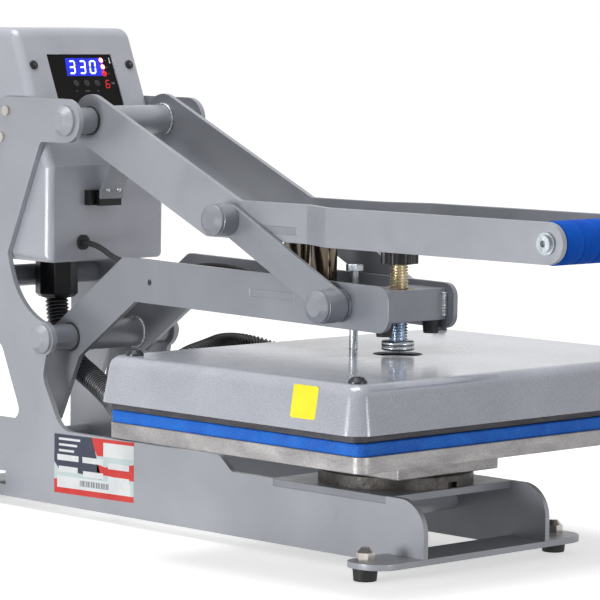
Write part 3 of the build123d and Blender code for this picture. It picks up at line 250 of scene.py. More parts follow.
# The finishes themselves: screen colours of the dark and light patches, and the range of roughness
silver = paint("silver_paint", (160, 163, 170), (172, 175, 182), (0.32, 0.42))
# The lever and the arm parts take darker copies of the same silver paint: painted shade
silver_lever = paint("silver_lever", (150, 153, 160), (164, 167, 174))
silver_arm_painted_shade = paint("silver_arm_painted_shade", (136, 139, 146), (148, 151, 158))
box_paint = surface("box_paint", (174, 176, 185), (186, 188, 197), (0.32, 0.42), metal=0.2, fleck=0.12,
                    wave=200.0, wave_depth=0.05)
hammered = surface("hammered_cover", (168, 171, 180), (182, 185, 194), (0.14, 0.17), metal=0.2, fleck=0.24,
                   fleck_grain=1200.0, grain=800.0, grain_depth=0.01, specular=0.3)
cast_alloy = surface("cast_alloy", (136, 134, 135), (174, 172, 171), (0.32, 0.52), metal=0.55, patch=26.0,
                     stretch=(1, 1, 2.2), grain=500.0, grain_depth=0.10, fleck=0.25, fleck_grain=700.0,
                     wave=60.0, wave_depth=0.25)
# A darker copy of the cast alloy for the hub under the lower platen: painted shade
cast_alloy_painted_shade = surface("cast_alloy_painted_shade", (34, 33, 32), (84, 80, 77), (0.35, 0.6), metal=0.5, patch=60.0,
                    grain=400.0, grain_depth=0.2, fleck=0.4, fleck_grain=500.0)
dark_platen = surface("dark_platen", (50, 50, 57), (74, 72, 78), (0.45, 0.65), metal=0.4, patch=30.0,
                      stretch=(1, 1, 6), grain=500.0, grain_depth=0.10, fleck=0.35, fleck_grain=800.0)
blue_silicone = surface("blue_silicone", (6, 92, 196), (20, 116, 220), (0.62, 0.78), patch=40.0,
                        grain=1100.0, grain_depth=0.25, fleck=0.65, fleck_grain=950.0)
blue_foam = surface("blue_foam", (0, 80, 190), (3, 92, 206), (0.7, 0.82), patch=30.0, grain=1600.0,
                    grain_depth=0.08, fleck=0.2, specular=0.2)
black_rubber = surface("black_rubber", (14, 15, 17), (26, 27, 30), (0.5, 0.68), patch=60.0, grain=900.0,
                       grain_depth=0.06)
black_plastic = surface("black_plastic", (7, 8, 11), (14, 15, 19), (0.3, 0.44), patch=50.0, grain=700.0,
                        grain_depth=0.02, specular=0.3)
conduit_black = surface("conduit_black", (8, 8, 10), (15, 15, 17), (0.28, 0.4), patch=60.0, grain=900.0,
                        grain_depth=0.01, specular=0.35)
# Light grey for one ring on each rib's crest of the black conduit: a painted highlight
conduit_crest_painted_highlight = surface("conduit_crest_painted_highlight", (96, 100, 106), (132, 136, 142), (0.24, 0.34),
                              patch=60.0, grain=900.0, grain_depth=0.01, specular=0.6)
gloss_black = surface("gloss_black", (12, 11, 10), (18, 17, 16), (0.2, 0.3), patch=30.0, grain=300.0,
                      grain_depth=0.002, specular=0.1)
zinc = surface("zinc", (150, 156, 162), (196, 201, 206), (0.22, 0.36), metal=1.0, patch=60.0,
               stretch=(3, 3, 1), grain=500.0, grain_depth=0.003)
screw_zinc = surface("screw_zinc", (150, 166, 186), (206, 216, 228), (0.2, 0.32), metal=1.0, patch=60.0,
                     grain=500.0, grain_depth=0.003)
screw_gold = surface("screw_gold", (176, 164, 136), (222, 213, 188), (0.2, 0.32), metal=1.0, patch=60.0,
                     grain=500.0, grain_depth=0.003)
nickel = surface("nickel", (170, 164, 158), (208, 203, 198), (0.14, 0.26), metal=1.0, patch=50.0,
                 stretch=(1, 1, 0.3), grain=600.0, grain_depth=0.002)
# Nickel darkened and tinted brown for the magnets: a painted reflection
magnet_nickel_painted_reflection = surface("magnet_nickel_painted_reflection", (96, 86, 74), (134, 124, 112), (0.12, 0.22), metal=1.0, patch=50.0,
                        stretch=(1, 1, 0.2), grain=600.0, grain_depth=0.002)
steel_dark = surface("steel_dark", (78, 78, 80), (120, 118, 118), (0.25, 0.4), metal=0.9, patch=60.0)
black_steel = surface("black_steel", (36, 37, 42), (58, 60, 66), (0.22, 0.36), metal=0.7, patch=60.0)
bronze = surface("bronze", (150, 112, 62), (186, 146, 90), (0.3, 0.45), metal=0.9, patch=60.0)
green_board = surface("green_board", (18, 66, 44), (30, 92, 60), (0.35, 0.5), patch=90.0, fleck=0.4)
fibre = surface("fibre", (196, 188, 170), (222, 215, 200), (0.8, 0.95), patch=60.0, stretch=(1, 5, 1),
                grain=700.0, grain_depth=0.3, sheen=0.3)
weld_metal = surface("weld_metal", (140, 142, 146), (214, 215, 218), (0.2, 0.4), metal=0.6, patch=160.0,
                     grain=500.0, grain_depth=0.3)
white_print = printed("white_print", (226, 230, 232), (244, 246, 247))
pale_print = printed("pale_print", (198, 216, 216), (214, 228, 228))
navy_print = printed("navy_print", (36, 42, 62), (50, 56, 78))
red_print = printed("red_print", (206, 40, 40), (226, 66, 58))
yellow_print = printed("yellow_print", (240, 226, 16), (252, 240, 40), (0.4, 0.5))
grey_print = printed("grey_print", (92, 98, 104), (120, 126, 132), (0.4, 0.5))
faint_print = printed("faint_print", (70, 70, 74), (96, 96, 100), (0.4, 0.5), 90.0)
digit_white = glow("digit_white", (196, 208, 255), (226, 234, 255), 1.6)
digit_blue = glow("digit_blue", (4, 14, 150), (10, 34, 220), 0.75)
lamp_white = glow("lamp_white", (255, 226, 222), (255, 244, 240), 1.5)
lamp_red = glow("lamp_red", (160, 8, 16), (208, 20, 30), 0.9)


# Mesh helpers
nearly_upright = 0.9


def add_mesh(name, points, faces, material, smooth=True):
    mesh = bpy.data.meshes.new(name)
    mesh.from_pydata([tuple(point) for point in points], [], faces)
    mesh.update()
    mesh.materials.append(material)
    if smooth:
        mesh.polygons.foreach_set("use_smooth", [True] * len(mesh.polygons))
    obj = bpy.data.objects.new(name, mesh)
    bpy.context.scene.collection.objects.link(obj)
    return obj


def skin(name, rings, material, looped=False, smooth=True):
    """A surface over rings that have the same number of points: closed by caps, or looped into itself."""
    count = len(rings[0])
    points = [point for ring in rings for point in ring]
    faces = []
    last = len(rings) if looped else len(rings) - 1
    for row in range(last):
        following = (row + 1) % len(rings)
        for side in range(count):
            other = (side + 1) % count
            faces.append((row * count + side, row * count + other,
                          following * count + other, following * count + side))
    if not looped:
        faces.append(tuple(reversed(range(count))))
        faces.append(tuple(range((len(rings) - 1) * count, len(rings) * count)))
    return add_mesh(name, points, faces, material, smooth)


def axes_around(axis):
    """Two directions square to the axis and to each other."""
    axis = axis.normalized()
    helper = upward if abs(axis.z) < nearly_upright else Vector((1, 0, 0))
    first = axis.cross(helper).normalized()
    return first, axis.cross(first).normalized()


def lathe(name, profile, origin, axis, material, sides=48):
    """A turned form: the profile is pairs of distance along the axis and radius, in millimetres."""
    axis = axis.normalized()
    first, second = axes_around(axis)
    rings = []
    for along, radius in profile:
        centre = origin + axis * along * mm
        ring = []
        for side in range(sides):
            turn = math.tau * side / sides
            ring.append(centre + (first * math.cos(turn) + second * math.sin(turn)) * radius * mm)
        rings.append(ring)
    return skin(name, rings, material)


def sweep(name, points, radii, material, sides, looped=False):
    """A tube along points, with a radius in metres at each."""
    count = len(points)
    ahead = [points[(i + 1) % count] - points[i - 1] for i in range(count)]
    if not looped:
        ahead[0] = points[1] - points[0]
        ahead[-1] = points[-1] - points[-2]
    side_axis = axes_around(ahead[0])[0]
    rings = []
    for point, along, radius in zip(points, ahead, radii):
        along = along.normalized()
        side_axis = (side_axis - along * side_axis.dot(along)).normalized()
        other = along.cross(side_axis)
        ring = []
        for side in range(sides):
            turn = math.tau * side / sides
            ring.append(point + (side_axis * math.cos(turn) + other * math.sin(turn)) * radius)
        rings.append(ring)
    return skin(name, rings, material, looped=looped)


def slab(name, outline, origin, right, up, thickness, material):
    """A flat piece: its outline is in millimetres along right and up, and it grows along their normal."""
    normal = right.cross(up).normalized()
    bottom = [origin + (right * a + up * b) * mm for a, b in outline]
    top = [point + normal * thickness * mm for point in bottom]
    return skin(name, [bottom, top], material, smooth=False)


def rectangle(low, high):
    """The four corners of a rectangle, from its lowest and highest ones."""
    return [low, (high[0], low[1]), high, (low[0], high[1])]


def rounded_outline(half_w, half_d, corner, steps=8):
    """A rectangle about the origin with rounded corners."""
    outline = []
    for quarter, (sx, sy) in enumerate(((1, 1), (-1, 1), (-1, -1), (1, -1))):
        for step in range(steps + 1):
            turn = math.pi / 2 * (quarter + step / steps)
            outline.append((sx * (half_w - corner) + corner * math.cos(turn),
                            sy * (half_d - corner) + corner * math.sin(turn)))
    return outline


# Cords: the ribbed conduit to the heater and the thin cable to the arm
conduit_route = [
    (0, 429.5, 186), (0, 429.5, 133), (-16, 338, 101), (-42, 287, 85), (-69, 261, 83), (-87, 233, 96),
    (-85, 208, 122), (-59, 197, 145), (-24, 203, 150), (4, 214, 153), (33, 210, 149), (50, 190, 141),
    (50, 157.6, 141),
]
cable_route = [
    (-29, 362.5, 231.8), (-29, 343, 231.8), (-27, 320, 219), (-20, 288, 213), (-15, 252, 214),
    (-14, 216, 221), (-13, 182, 220), (0, 158, 213.5), (0, 134.8, 213.5),
]
conduit_crest = 10.5
conduit_valley = 8.7
rib_pitch = 3.4
rings_per_rib = 6
rib_fullness = 0.7
# The ring of each rib that takes the painted highlight
highlight_ring = 3
conduit_sides = 36
cable_r = 2.5
cable_step = 1.5
cable_sides = 20
line_fineness = 32


def smooth_line(route):
    """The points of the route's own smooth line."""
    curve = bpy.data.curves.new("line", "CURVE")
    curve.dimensions = "3D"
    spline = curve.splines.new("NURBS")
    spline.points.add(len(route) - 1)
    for point, spot in zip(spline.points, route):
        point.co = (*place(*spot), 1.0)
    spline.order_u = 3
    spline.use_endpoint_u = True
    spline.resolution_u = line_fineness
    holder = bpy.data.objects.new("line", curve)
    bpy.context.scene.collection.objects.link(holder)
    bpy.context.view_layer.update()
    mesh = bpy.data.meshes.new_from_object(holder)
    points = [vertex.co.copy() for vertex in mesh.vertices]
    bpy.data.objects.remove(holder)
    bpy.data.meshes.remove(mesh)
    return points


def along_line(points, step):
    """Points of the line read off at even steps, and its length."""
    pairs = list(zip(points, points[1:]))
    total = sum((end - start).length for start, end in pairs)
    count = round(total / step)
    even = [points[0].copy()]
    travelled = 0.0
    for start, end in pairs:
        run = (end - start).length
        while len(even) < count and len(even) * total / count <= travelled + run:
            part = (len(even) * total / count - travelled) / run
            even.append(start.lerp(end, part))
        travelled += run
    even.append(points[-1].copy())
    return even, total


def add_conduit():
    line = smooth_line(conduit_route)
    points, length = along_line(line, rib_pitch / rings_per_rib * mm)
    radii = []
    for index in range(len(points)):
        phase = index % rings_per_rib / rings_per_rib
        swell = ((1 - math.cos(math.tau * phase)) / 2) ** rib_fullness
        radii.append((conduit_valley + (conduit_crest - conduit_valley) * swell) * mm)
    conduit = sweep("ribbed_conduit", points, radii, conduit_black, conduit_sides)
    # One ring on each rib's crest takes the light grey: a painted highlight along the crests
    conduit.data.materials.append(conduit_crest_painted_highlight)
    for number, face in enumerate(conduit.data.polygons):
        face.material_index = int(number // conduit_sides % rings_per_rib == highlight_ring)
    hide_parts("conduit")
    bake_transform(conduit)


def add_cable():
    line = smooth_line(cable_route)
    points, length = along_line(line, cable_step * mm)
    cable = sweep("sensor_cable", points, [cable_r * mm] * len(points), black_rubber, cable_sides)
    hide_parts("magnet_cable")
    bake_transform(cable)


add_conduit()
add_cable()


# Pressure screw with its thread, zinc below and gold above, and its flange
screw_low, screw_high = box_of("pressure_screw")
screw_back = (screw_low.y + screw_high.y) / 2
screw_r = 7.94
thread_pitch = 2.309
thread_depth = 1.5
thread_flank = 1.25
thread_gold_above = 204.0
thread_low = 172.8
thread_high = screw_high.z
thread_step = 0.29
thread_sides = 48
flange_low = 165.2
flange_r = screw_high.x
flange_insets = [(0, 1.0), (0.6, 0), (3.2, 0), (3.5, 0.6), (3.8, 0), (7.0, 0), (7.6, 1.0)]


def add_screw():
    rings = []
    rows = int((thread_high - thread_low) / thread_step)
    for row in range(rows + 1):
        height = thread_low + row * (thread_high - thread_low) / rows
        ring = []
        for side in range(thread_sides):
            turn = math.tau * side / thread_sides
            phase = (height / thread_pitch - side / thread_sides) % 1.0
            depth = thread_depth * min(1.0, thread_flank * abs(2 * phase - 1))
            radius = screw_r - depth
            ring.append(place(radius * math.cos(turn), screw_back + radius * math.sin(turn), height))
        rings.append(ring)
    screw = skin("threaded_screw", rings, screw_zinc)
    screw.data.materials.append(screw_gold)
    for face in screw.data.polygons:
        face.material_index = int(face.center.z > thread_gold_above * mm)
    flange_profile = [(along, flange_r - inset) for along, inset in flange_insets]
    flange = lathe("screw_flange", flange_profile, place(0, screw_back, flange_low), upward, zinc)
    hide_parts("pressure_screw")
    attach(screw, "pressure_knob")
    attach(flange, "pressure_knob")


add_screw()

# Blue pad on the lower platen
pad_corner = 7.0
pad_edge = 1.2
pad_shoulder = 0.35
pad_crown = 0.05
pad_crown_in = 6.0


def add_pad():
    low, high = box_of("silicone_pad")
    half_w = (high.x - low.x) / 2
    half_d = (high.y - low.y) / 2
    levels = [
        (pad_edge, low.z), (pad_shoulder, low.z + pad_shoulder), (0, low.z + pad_edge),
        (0, (low.z + high.z) / 2), (0, high.z - pad_edge), (pad_shoulder, high.z - pad_shoulder),
        (pad_edge, high.z - pad_crown), (pad_crown_in, high.z),
    ]
    rings = []
    for inset, level in levels:
        outline = rounded_outline(half_w - inset, half_d - inset, pad_corner - min(inset, pad_edge))
        rings.append([place(a, b, level) for a, b in outline])
    pad = skin("sponge_pad", rings, blue_silicone)
    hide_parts("silicone_pad")
    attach(pad, "base")


add_pad()

# Foam grip with five sunk rings
grip_back = -204.0
grip_z = 265.4
foam_r = 16.8
foam_half = 56.74
foam_bore_r = 10.0
foam_round = 1.8
foam_round_steps = 4
foam_sides = 72
groove_count = 5
groove_deep = 1.1
groove_lip = 0.25
groove_outline = [
    (-1.76, 0.0), (-0.88, groove_lip), (-0.36, groove_deep),
    (0.36, groove_deep), (0.88, groove_lip), (1.76, 0.0),
]


def grip_end():
    """The foam's left end, from its bore over its rounded rim, as distance along and radius."""
    profile = [(-foam_half, foam_bore_r), (-foam_half, foam_r - foam_round)]
    for step in range(1, foam_round_steps + 1):
        turn = math.pi / 2 * step / foam_round_steps
        profile.append((-foam_half + foam_round * (1 - math.cos(turn)),
                        foam_r - foam_round * (1 - math.sin(turn))))
    return profile


def add_grip():
    profile = grip_end()
    spacing = 2 * foam_half / (groove_count + 1)
    for number in range(groove_count):
        groove = -foam_half + spacing * (number + 1)
        profile.append((groove - spacing / 2, foam_r))
        profile += [(groove + offset, foam_r - deep) for offset, deep in groove_outline]
    profile += [(-along, radius) for along, radius in reversed(grip_end())]
    middle = place(0, grip_back, grip_z)
    foam = lathe("foam_grip", profile, middle, Vector((1, 0, 0)), blue_foam, foam_sides)
    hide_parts("grip_foam")
    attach(foam, "lever")


add_grip()

# Quilted insulation inside the cover
quilt_cell = 26.0
quilt_deep = 1.6
quilt_hole_r = 32.0
quilt_fullness = 0.5
quilt_margin = 0.5
quilt_sides = 144
quilt_steps = 16
smallest = 1e-6


def add_insulation():
    low, high = box_of("insulation_blanket")
    half_w = (high.x - low.x) / 2 - quilt_margin
    half_d = (high.y - low.y) / 2 - quilt_margin
    middle_back = (low.y + high.y) / 2

    def spot(share, turn):
        """A point of the quilted top: its share of the way from the hole to the rim."""
        across = max(abs(math.cos(turn)), smallest)
        along = max(abs(math.sin(turn)), smallest)
        reach = min(half_w / across, half_d / along)
        distance = quilt_hole_r + (reach - quilt_hole_r) * share
        x = distance * math.cos(turn)
        back = distance * math.sin(turn)
        cells = abs(math.sin(math.pi * x / quilt_cell) * math.sin(math.pi * back / quilt_cell))
        return place(x, middle_back + back, high.z - quilt_deep * (1 - cells ** quilt_fullness))

    top = []
    for step in range(quilt_steps + 1):
        top.append([spot(step / quilt_steps, math.tau * side / quilt_sides) for side in range(quilt_sides)])
    bottom = [[Vector((point.x, point.y, low.z * mm)) for point in ring] for ring in reversed(top)]
    blanket = skin("quilted_insulation", top + bottom, fibre, looped=True)
    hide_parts("insulation_blanket")
    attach(blanket, "heater")


add_insulation()

# Display: its sloping face on the box, and the digits, lamps and buttons on it, across and up that face
box_front = box_of("control_box")[0].y
box_bend_z = 298.0
box_lean = math.radians(22.8)
display_sink = 1.5
panel_right = Vector((1, 0, 0))
panel_up = Vector((0, math.sin(box_lean), math.cos(box_lean)))
panel_out = panel_right.cross(panel_up)
print_thick = 0.1
print_out = 0.05
digit_h = 12.8
digit_w = 7.4
digit_slant = 0.19
digit_out = 0.25
digit_starts = [-15.6, -3.6, 8.1]
digit_base = 85.8
digit_shapes = {"0": "abcdef", "3": "abcdg", "6": "acdefg"}
main_figures = "330"
small_figure = "6"
small_digit_place = (22.2, 72.2)
small_digit_h = 7.8
small_digit_w = 5.0
segment_w = 1.5
segment_tip = 0.2
segment_shoulder = 1.2
tint_out = 0.1
tint_outline = [(-3.2, -1.8), (40.0, -1.8), (42.6, 15.0), (-0.6, 15.0)]
lamp_places = [(24.5, 98.6, lamp_white), (24.7, 92.4, lamp_white), (24.8, 86.1, lamp_red)]
lamp_dome = [(0, 2.2), (0.5, 2.1), (0.9, 1.5), (1.05, 0.3)]
lamp_collar = [(0, 2.9), (0.35, 2.8), (0.4, 2.2)]
lamp_marks = [
    (30.0, 98.6, 1.2, 0.3), (29.6, 92.4, 0.8, 0.6), (29.8, 86.1, 1.0, 0.4), (32.0, 77.0, 2.0, 1.0),
]
button_profile = [(0, 3.2), (0.5, 3.1), (0.8, 2.7), (0.65, 0.6)]
button_places = [(-10.9, 76.9, 1.0), (1.4, 76.9, 2.6), (13.5, 76.9, 1.0)]
button_mark_left = 1.2
button_mark_drop = 7.0
button_mark_half_h = 0.5
gauge_place = (34.6, 96.6)
gauge_bulb = [(0, 1.0), (0.15, 0.9)]
gauge_half_w = 0.5
gauge_h = 4.6
small_sides = 24
button_sides = 32


def panel_spot(across, rise, out=0.0):
    """A point on the display's face: across, up the slope, and out of it."""
    base = place(across, box_front, box_bend_z)
    return base + panel_up * rise * mm + panel_out * (out - display_sink) * mm


def panel_print(name, outline, across, rise, material, out=print_out):
    """A thin flat shape on the display's face."""
    shape = slab(name, outline, panel_spot(across, rise, out), panel_right, panel_up, print_thick, material)
    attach(shape, "base")


def panel_turned(name, profile, across, rise, material, sides=small_sides, out=0.0):
    """A small turned piece that stands on the display's face."""
    piece = lathe(name, profile, panel_spot(across, rise, out), panel_out, material, sides)
    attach(piece, "base")


def segment_outline(start, end, half):
    """A bar of a digit with pointed ends, leaning as the digit does."""
    along = (end - start).normalized()
    across = Vector((-along.y, along.x)) * half
    tip = along * half * segment_tip
    shoulder = along * half * segment_shoulder
    corners = [
        start + tip, start + shoulder + across, end - shoulder + across,
        end - tip, end - shoulder - across, start + shoulder - across,
    ]
    return [(x + y * digit_slant, y) for x, y in reversed(corners)]


def add_digit(name, figure, start, base, height, width, material):
    half = segment_w * height / digit_h / 2
    rows = {"low": half, "middle": height / 2, "high": height - half}
    columns = {"left": half, "right": width - half}

    def bar(from_column, from_row, to_column, to_row):
        return Vector((columns[from_column], rows[from_row])), Vector((columns[to_column], rows[to_row]))

    bars = {
        "a": bar("left", "high", "right", "high"),
        "b": bar("right", "middle", "right", "high"),
        "c": bar("right", "low", "right", "middle"),
        "d": bar("left", "low", "right", "low"),
        "e": bar("left", "low", "left", "middle"),
        "f": bar("left", "middle", "left", "high"),
        "g": bar("left", "middle", "right", "middle"),
    }
    for letter in digit_shapes[figure]:
        outline = segment_outline(*bars[letter], half)
        panel_print(f"{name}_{letter}", outline, start, base, material, digit_out)


def add_digits():
    panel_print("display_tint", tint_outline, digit_starts[0], digit_base, digit_blue, tint_out)
    for number, (figure, start) in enumerate(zip(main_figures, digit_starts)):
        add_digit(f"digit_{number}", figure, start, digit_base, digit_h, digit_w, digit_white)
    add_digit("digit_small", small_figure, *small_digit_place, small_digit_h, small_digit_w, lamp_red)


def add_signal_lamps():
    for number, (across, rise, core) in enumerate(lamp_places):
        panel_turned(f"signal_lamp_{number}", lamp_dome, across, rise, core)
        panel_turned(f"signal_ring_{number}", lamp_collar, across, rise, lamp_red)


def add_buttons():
    for number, (across, rise, half_w) in enumerate(button_places):
        panel_turned(f"flat_button_{number}", button_profile, across, rise, black_rubber, button_sides)
        mark = rectangle((-half_w, -button_mark_half_h), (half_w, button_mark_half_h))
        panel_print(f"button_mark_{number}", mark, across - button_mark_left, rise - button_mark_drop,
                    faint_print)


def add_panel_marks():
    for number, (across, rise, half_w, half_h) in enumerate(lamp_marks):
        mark = rectangle((-half_w, -half_h), (half_w, half_h))
        panel_print(f"lamp_mark_{number}", mark, across, rise, faint_print)
    panel_turned("gauge_bulb", gauge_bulb, *gauge_place, white_print)
    stem = rectangle((-gauge_half_w, 0), (gauge_half_w, gauge_h))
    panel_print("gauge_stem", stem, *gauge_place, white_print)


add_digits()
add_signal_lamps()
add_buttons()
add_panel_marks()

# Cross-head screws of the panel, over their plain heads
panel_screw_places = [(-55.0, 93.9), (55.0, 93.9)]
panel_screw_head = [(0, 4.0), (1.3, 4.0), (1.8, 3.4), (2.15, 1.8), (2.2, 0.2)]
cross_half_length = 1.7
cross_half_width = 0.35
cross_thick = 0.16
cross_out = 2.1


def add_panel_screws():
    slot_halves = [(cross_half_width, cross_half_length), (cross_half_length, cross_half_width)]
    for number, (across, rise) in enumerate(panel_screw_places):
        panel_turned(f"panel_screw_{number}", panel_screw_head, across, rise, black_plastic, button_sides,
                     display_sink)
        for turn, (half_w, half_h) in enumerate(slot_halves):
            outline = rectangle((-half_w, -half_h), (half_w, half_h))
            slot = slab(f"panel_screw_slot_{number}_{turn}", outline,
                        panel_spot(across, rise, display_sink + cross_out), panel_right, panel_up,
                        cross_thick, steel_dark)
            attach(slot, "base")


add_panel_screws()


# Weld beads and black washers beside the spacers
def pivot_of(node):
    """The axis of a tube across the press, as its place behind the pad's middle and above the floor."""
    low, high = box_of(node)
    return (low.y + high.y) / 2, (low.z + high.z) / 2


upper_pivot = pivot_of("lever_hub_tube")
lower_pivot = pivot_of("arm_hub_tube")
hub_r = 12.7
lever_inner_x = box_of("lever_hub_tube")[1].x
arm_inner_x = box_of("arm_hub_tube")[1].x
bar_thick = box_of("platen_arm_right")[1].x - arm_inner_x
front_tube_face = box_of("arm_front_tube")[0].y
bead_points = 96
bead_sides = 12
bead_r = 1.5
bead_rise = 0.4
bead_inset = 0.9
bead_floor = 0.82
bead_lump = 0.18
bead_lump_turn = math.pi / 5
bead_ripple = 0.05
bead_ripple_turn = 1.7
tube_bead_r = 3.2
tube_bead_inset = 2.6
tube_bead_behind = 0.6
tube_bead_low = 192.0
tube_bead_step = 0.5
tube_bead_points = 40
washer_gap = 0.1
washer_profile = [(0, 11.4), (0, 12.2), (0.2, 12.5), (1.0, 12.5), (1.2, 12.2), (1.2, 11.4)]
washer_sides = 64


def bead(name, points, radius, body, looped):
    """A weld bead: its thickness swells at even steps and ripples a little."""
    radii = []
    for index in range(len(points)):
        lump = bead_floor + bead_lump * abs(math.sin(index * bead_lump_turn))
        ripple = bead_ripple * math.sin(index * bead_ripple_turn)
        radii.append(radius * (lump + ripple) * mm)
    obj = sweep(name, points, radii, weld_metal, bead_sides, looped)
    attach(obj, body)


def hub_bead(name, x, pivot, body):
    """A bead round a hub tube, in the corner between the tube and its bar."""
    back, z = pivot
    radius = hub_r + bead_rise
    points = []
    for number in range(bead_points):
        turn = math.tau * number / bead_points
        points.append(place(x, back + radius * math.cos(turn), z + radius * math.sin(turn)))
    bead(name, points, bead_r, body, True)


def tube_bead(name, side):
    """An upright bead where an arm meets the face of the front tube."""
    x = side * (arm_inner_x - tube_bead_inset)
    back = front_tube_face + tube_bead_behind
    points = [place(x, back, tube_bead_low + number * tube_bead_step) for number in range(tube_bead_points)]
    bead(name, points, tube_bead_r, "platen_arm", False)


def washer(name, side, inner_x, pivot):
    start = place(side * (inner_x + bar_thick + washer_gap), *pivot)
    ring = lathe(name, washer_profile, start, Vector((side, 0, 0)), black_rubber, washer_sides)
    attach(ring, "base")


for side, label in ((-1, "left"), (1, "right")):
    hub_bead(f"lever_weld_{label}", side * (lever_inner_x - bead_inset), upper_pivot, "lever")
    hub_bead(f"arm_weld_{label}", side * (arm_inner_x - bead_inset), lower_pivot, "platen_arm")
    tube_bead(f"tube_weld_{label}", side)
    washer(f"upper_washer_{label}", side, lever_inner_x, upper_pivot)
    washer(f"lower_washer_{label}", side, arm_inner_x, lower_pivot)

# Two small screws that hold the magnet on the flag
flag_front = 348.5
flag_screw_places = [(-11.5, 277.5), (1.5, 277.5)]
flag_screw_profile = [(0, 2.4), (0.9, 2.3), (1.4, 1.6), (1.5, 0.2)]
for number, (x, z) in enumerate(flag_screw_places):
    spot = place(x, flag_front, z)
    flag_screw = lathe(f"flag_screw_{number}", flag_screw_profile, spot, frontward, zinc, small_sides)
    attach(flag_screw, "lever")

# Rating label with plain colour fields: places run forward and up from its lower rear corner
plate_outer_x = box_of("side_plate_left")[0].x
label_rear = 345.0
label_low = 18.8
label_lean = 0.02
label_fields = [
    ("label_sheet", pale_print, [(0, 0), (103, 0), (103, 51), (0, 51)], 0.10),
    ("label_navy", navy_print, [(0, 27), (6, 21), (44, 18), (62, 16), (49, 51), (0, 51)], 0.14),
    ("label_red_top", red_print, [(52, 42), (56, 36), (66, 36), (103, 47), (103, 51), (49, 51)], 0.14),
    ("label_red_side", red_print, [(56, 29), (66, 27), (103, 32), (103, 18), (70, 20), (56, 20)], 0.14),
    ("label_red_foot", red_print, [(0, 0), (103, 0), (103, 5), (0, 5)], 0.14),
    ("label_red_rear", red_print, [(0, 5), (4, 5), (4, 12), (0, 12)], 0.14),
    ("label_white_sign", white_print, [(64, 36), (103, 36), (103, 48), (64, 48)], 0.18),
    ("label_white_foot", white_print, [(4, 5), (99, 5), (99, 15), (4, 15)], 0.14),
]
label_top_out = 0.2
label_boxes = [
    (4, 28.5, 28), (37, 28.5, 27), (70, 26.0, 27), (6, 18.5, 25), (38, 16.5, 26), (70, 14.5, 27),
]
label_box_h = 5
label_bar_count = 18
label_bar_start = 34
label_bar_pitch = 2.1
label_bar_wide = 1.3
label_bar_thin = 0.8
label_bar_thin_every = 3
label_bar_levels = (8, 13)
label_dash_count = 3
label_dash_rear = 6
label_dash_front = 34
label_dash_levels = (46, 48)
label_dash_drop = 5
label_dash_shorter = 4


def label_field(name, outline, material, out=label_top_out):
    flipped = [(-ahead, level + ahead * label_lean) for ahead, level in outline]
    corner = place(plate_outer_x, label_rear, label_low)
    obj = slab(name, flipped, corner, rearward, upward, -out, material)
    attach(obj, "base")


def add_label_bars():
    low, high = label_bar_levels
    for number in range(label_bar_count):
        start = label_bar_start + number * label_bar_pitch
        width = label_bar_wide if number % label_bar_thin_every else label_bar_thin
        label_field(f"label_bar_{number}", rectangle((start, low), (start + width, high)), grey_print)


def add_label_dashes():
    low, high = label_dash_levels
    for number in range(label_dash_count):
        drop = number * label_dash_drop
        front = label_dash_front - number * label_dash_shorter
        outline = rectangle((label_dash_rear, low - drop), (front, high - drop))
        label_field(f"label_dash_{number}", outline, white_print)


def add_label():
    for name, material, outline, out in label_fields:
        label_field(name, outline, material, out)
    for number, (start, level, width) in enumerate(label_boxes):
        outline = rectangle((start, level), (start + width, level + label_box_h))
        label_field(f"label_box_{number}", outline, white_print)
    add_label_bars()
    add_label_dashes()


add_label()

# Plain yellow patch on the cover's sloping left side
cover_low = box_of("heater_cover")[0]
cover_draft = math.radians(9.6)
patch_back = -84.2
patch_rise = 21.0
patch_half_w = 13.2
patch_half_h = 12.5
patch_corner = 2.0
patch_corner_steps = 4
patch_out = 0.02
patch_sunk = 0.15


def add_patch():
    out = Vector((-math.cos(cover_draft), 0, math.sin(cover_draft)))
    up = Vector((math.sin(cover_draft), 0, math.cos(cover_draft)))
    middle = place(cover_low.x, patch_back, cover_low.z) + up * patch_rise * mm + out * patch_out * mm
    outline = rounded_outline(patch_half_w, patch_half_h, patch_corner, patch_corner_steps)
    obj = slab("yellow_patch", outline, middle, frontward, up, -patch_sunk, yellow_print)
    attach(obj, "heater")


add_patch()

# Finishes of the carried-over parts
finishes = [
    (silver, ["side_plate_left", "side_plate_right", "foot_bars", "lever_hub_tube", "pivot_caps",
              "cross_rods"]),
    # The arm parts and the lever take the darker copies of the silver paint, as painted shade
    (silver_arm_painted_shade, ["shelf_plate", "pivot_spacers", "link_left", "link_right", "link_collars",
                  "link_caps", "platen_arm_left", "platen_arm_right", "arm_hub_tube", "arm_cross_plates",
                  "arm_front_tube", "switch_flag", "keeper_plate"]),
    (silver_lever, ["lever_arm_left", "lever_arm_right"]),
    (box_paint, ["control_box", "back_cover"]),
    (hammered, ["heater_cover"]),
    (cast_alloy, ["lower_platen"]),
    # The hub under the platen takes the dark copy of the cast alloy: painted shade
    (cast_alloy_painted_shade, ["platen_hub"]),
    (dark_platen, ["heat_platen"]),
    (black_rubber, ["rubber_feet", "cable_grommet", "arm_bumpers"]),
    (black_plastic, ["power_inlet", "switch_housing", "switch_rocker", "lid_switch", "flag_magnet",
                     "conduit_gland", "conduit_fitting", "pressure_knob", "heater_relay"]),
    (gloss_black, ["display_panel"]),
    (green_board, ["control_board"]),
    (zinc, ["pivot_shafts", "guide_bolt", "swivel_hub", "grip_screws", "elbow_pin", "front_pin",
            "grip_tube"]),
    (nickel, ["base_fasteners"]),
    # The magnets take the darkened brown nickel, a painted reflection
    (magnet_nickel_painted_reflection, ["hold_magnets"]),
    (steel_dark, ["heating_element"]),
    (black_steel, ["cover_screws"]),
    (bronze, ["threaded_bush"]),
]

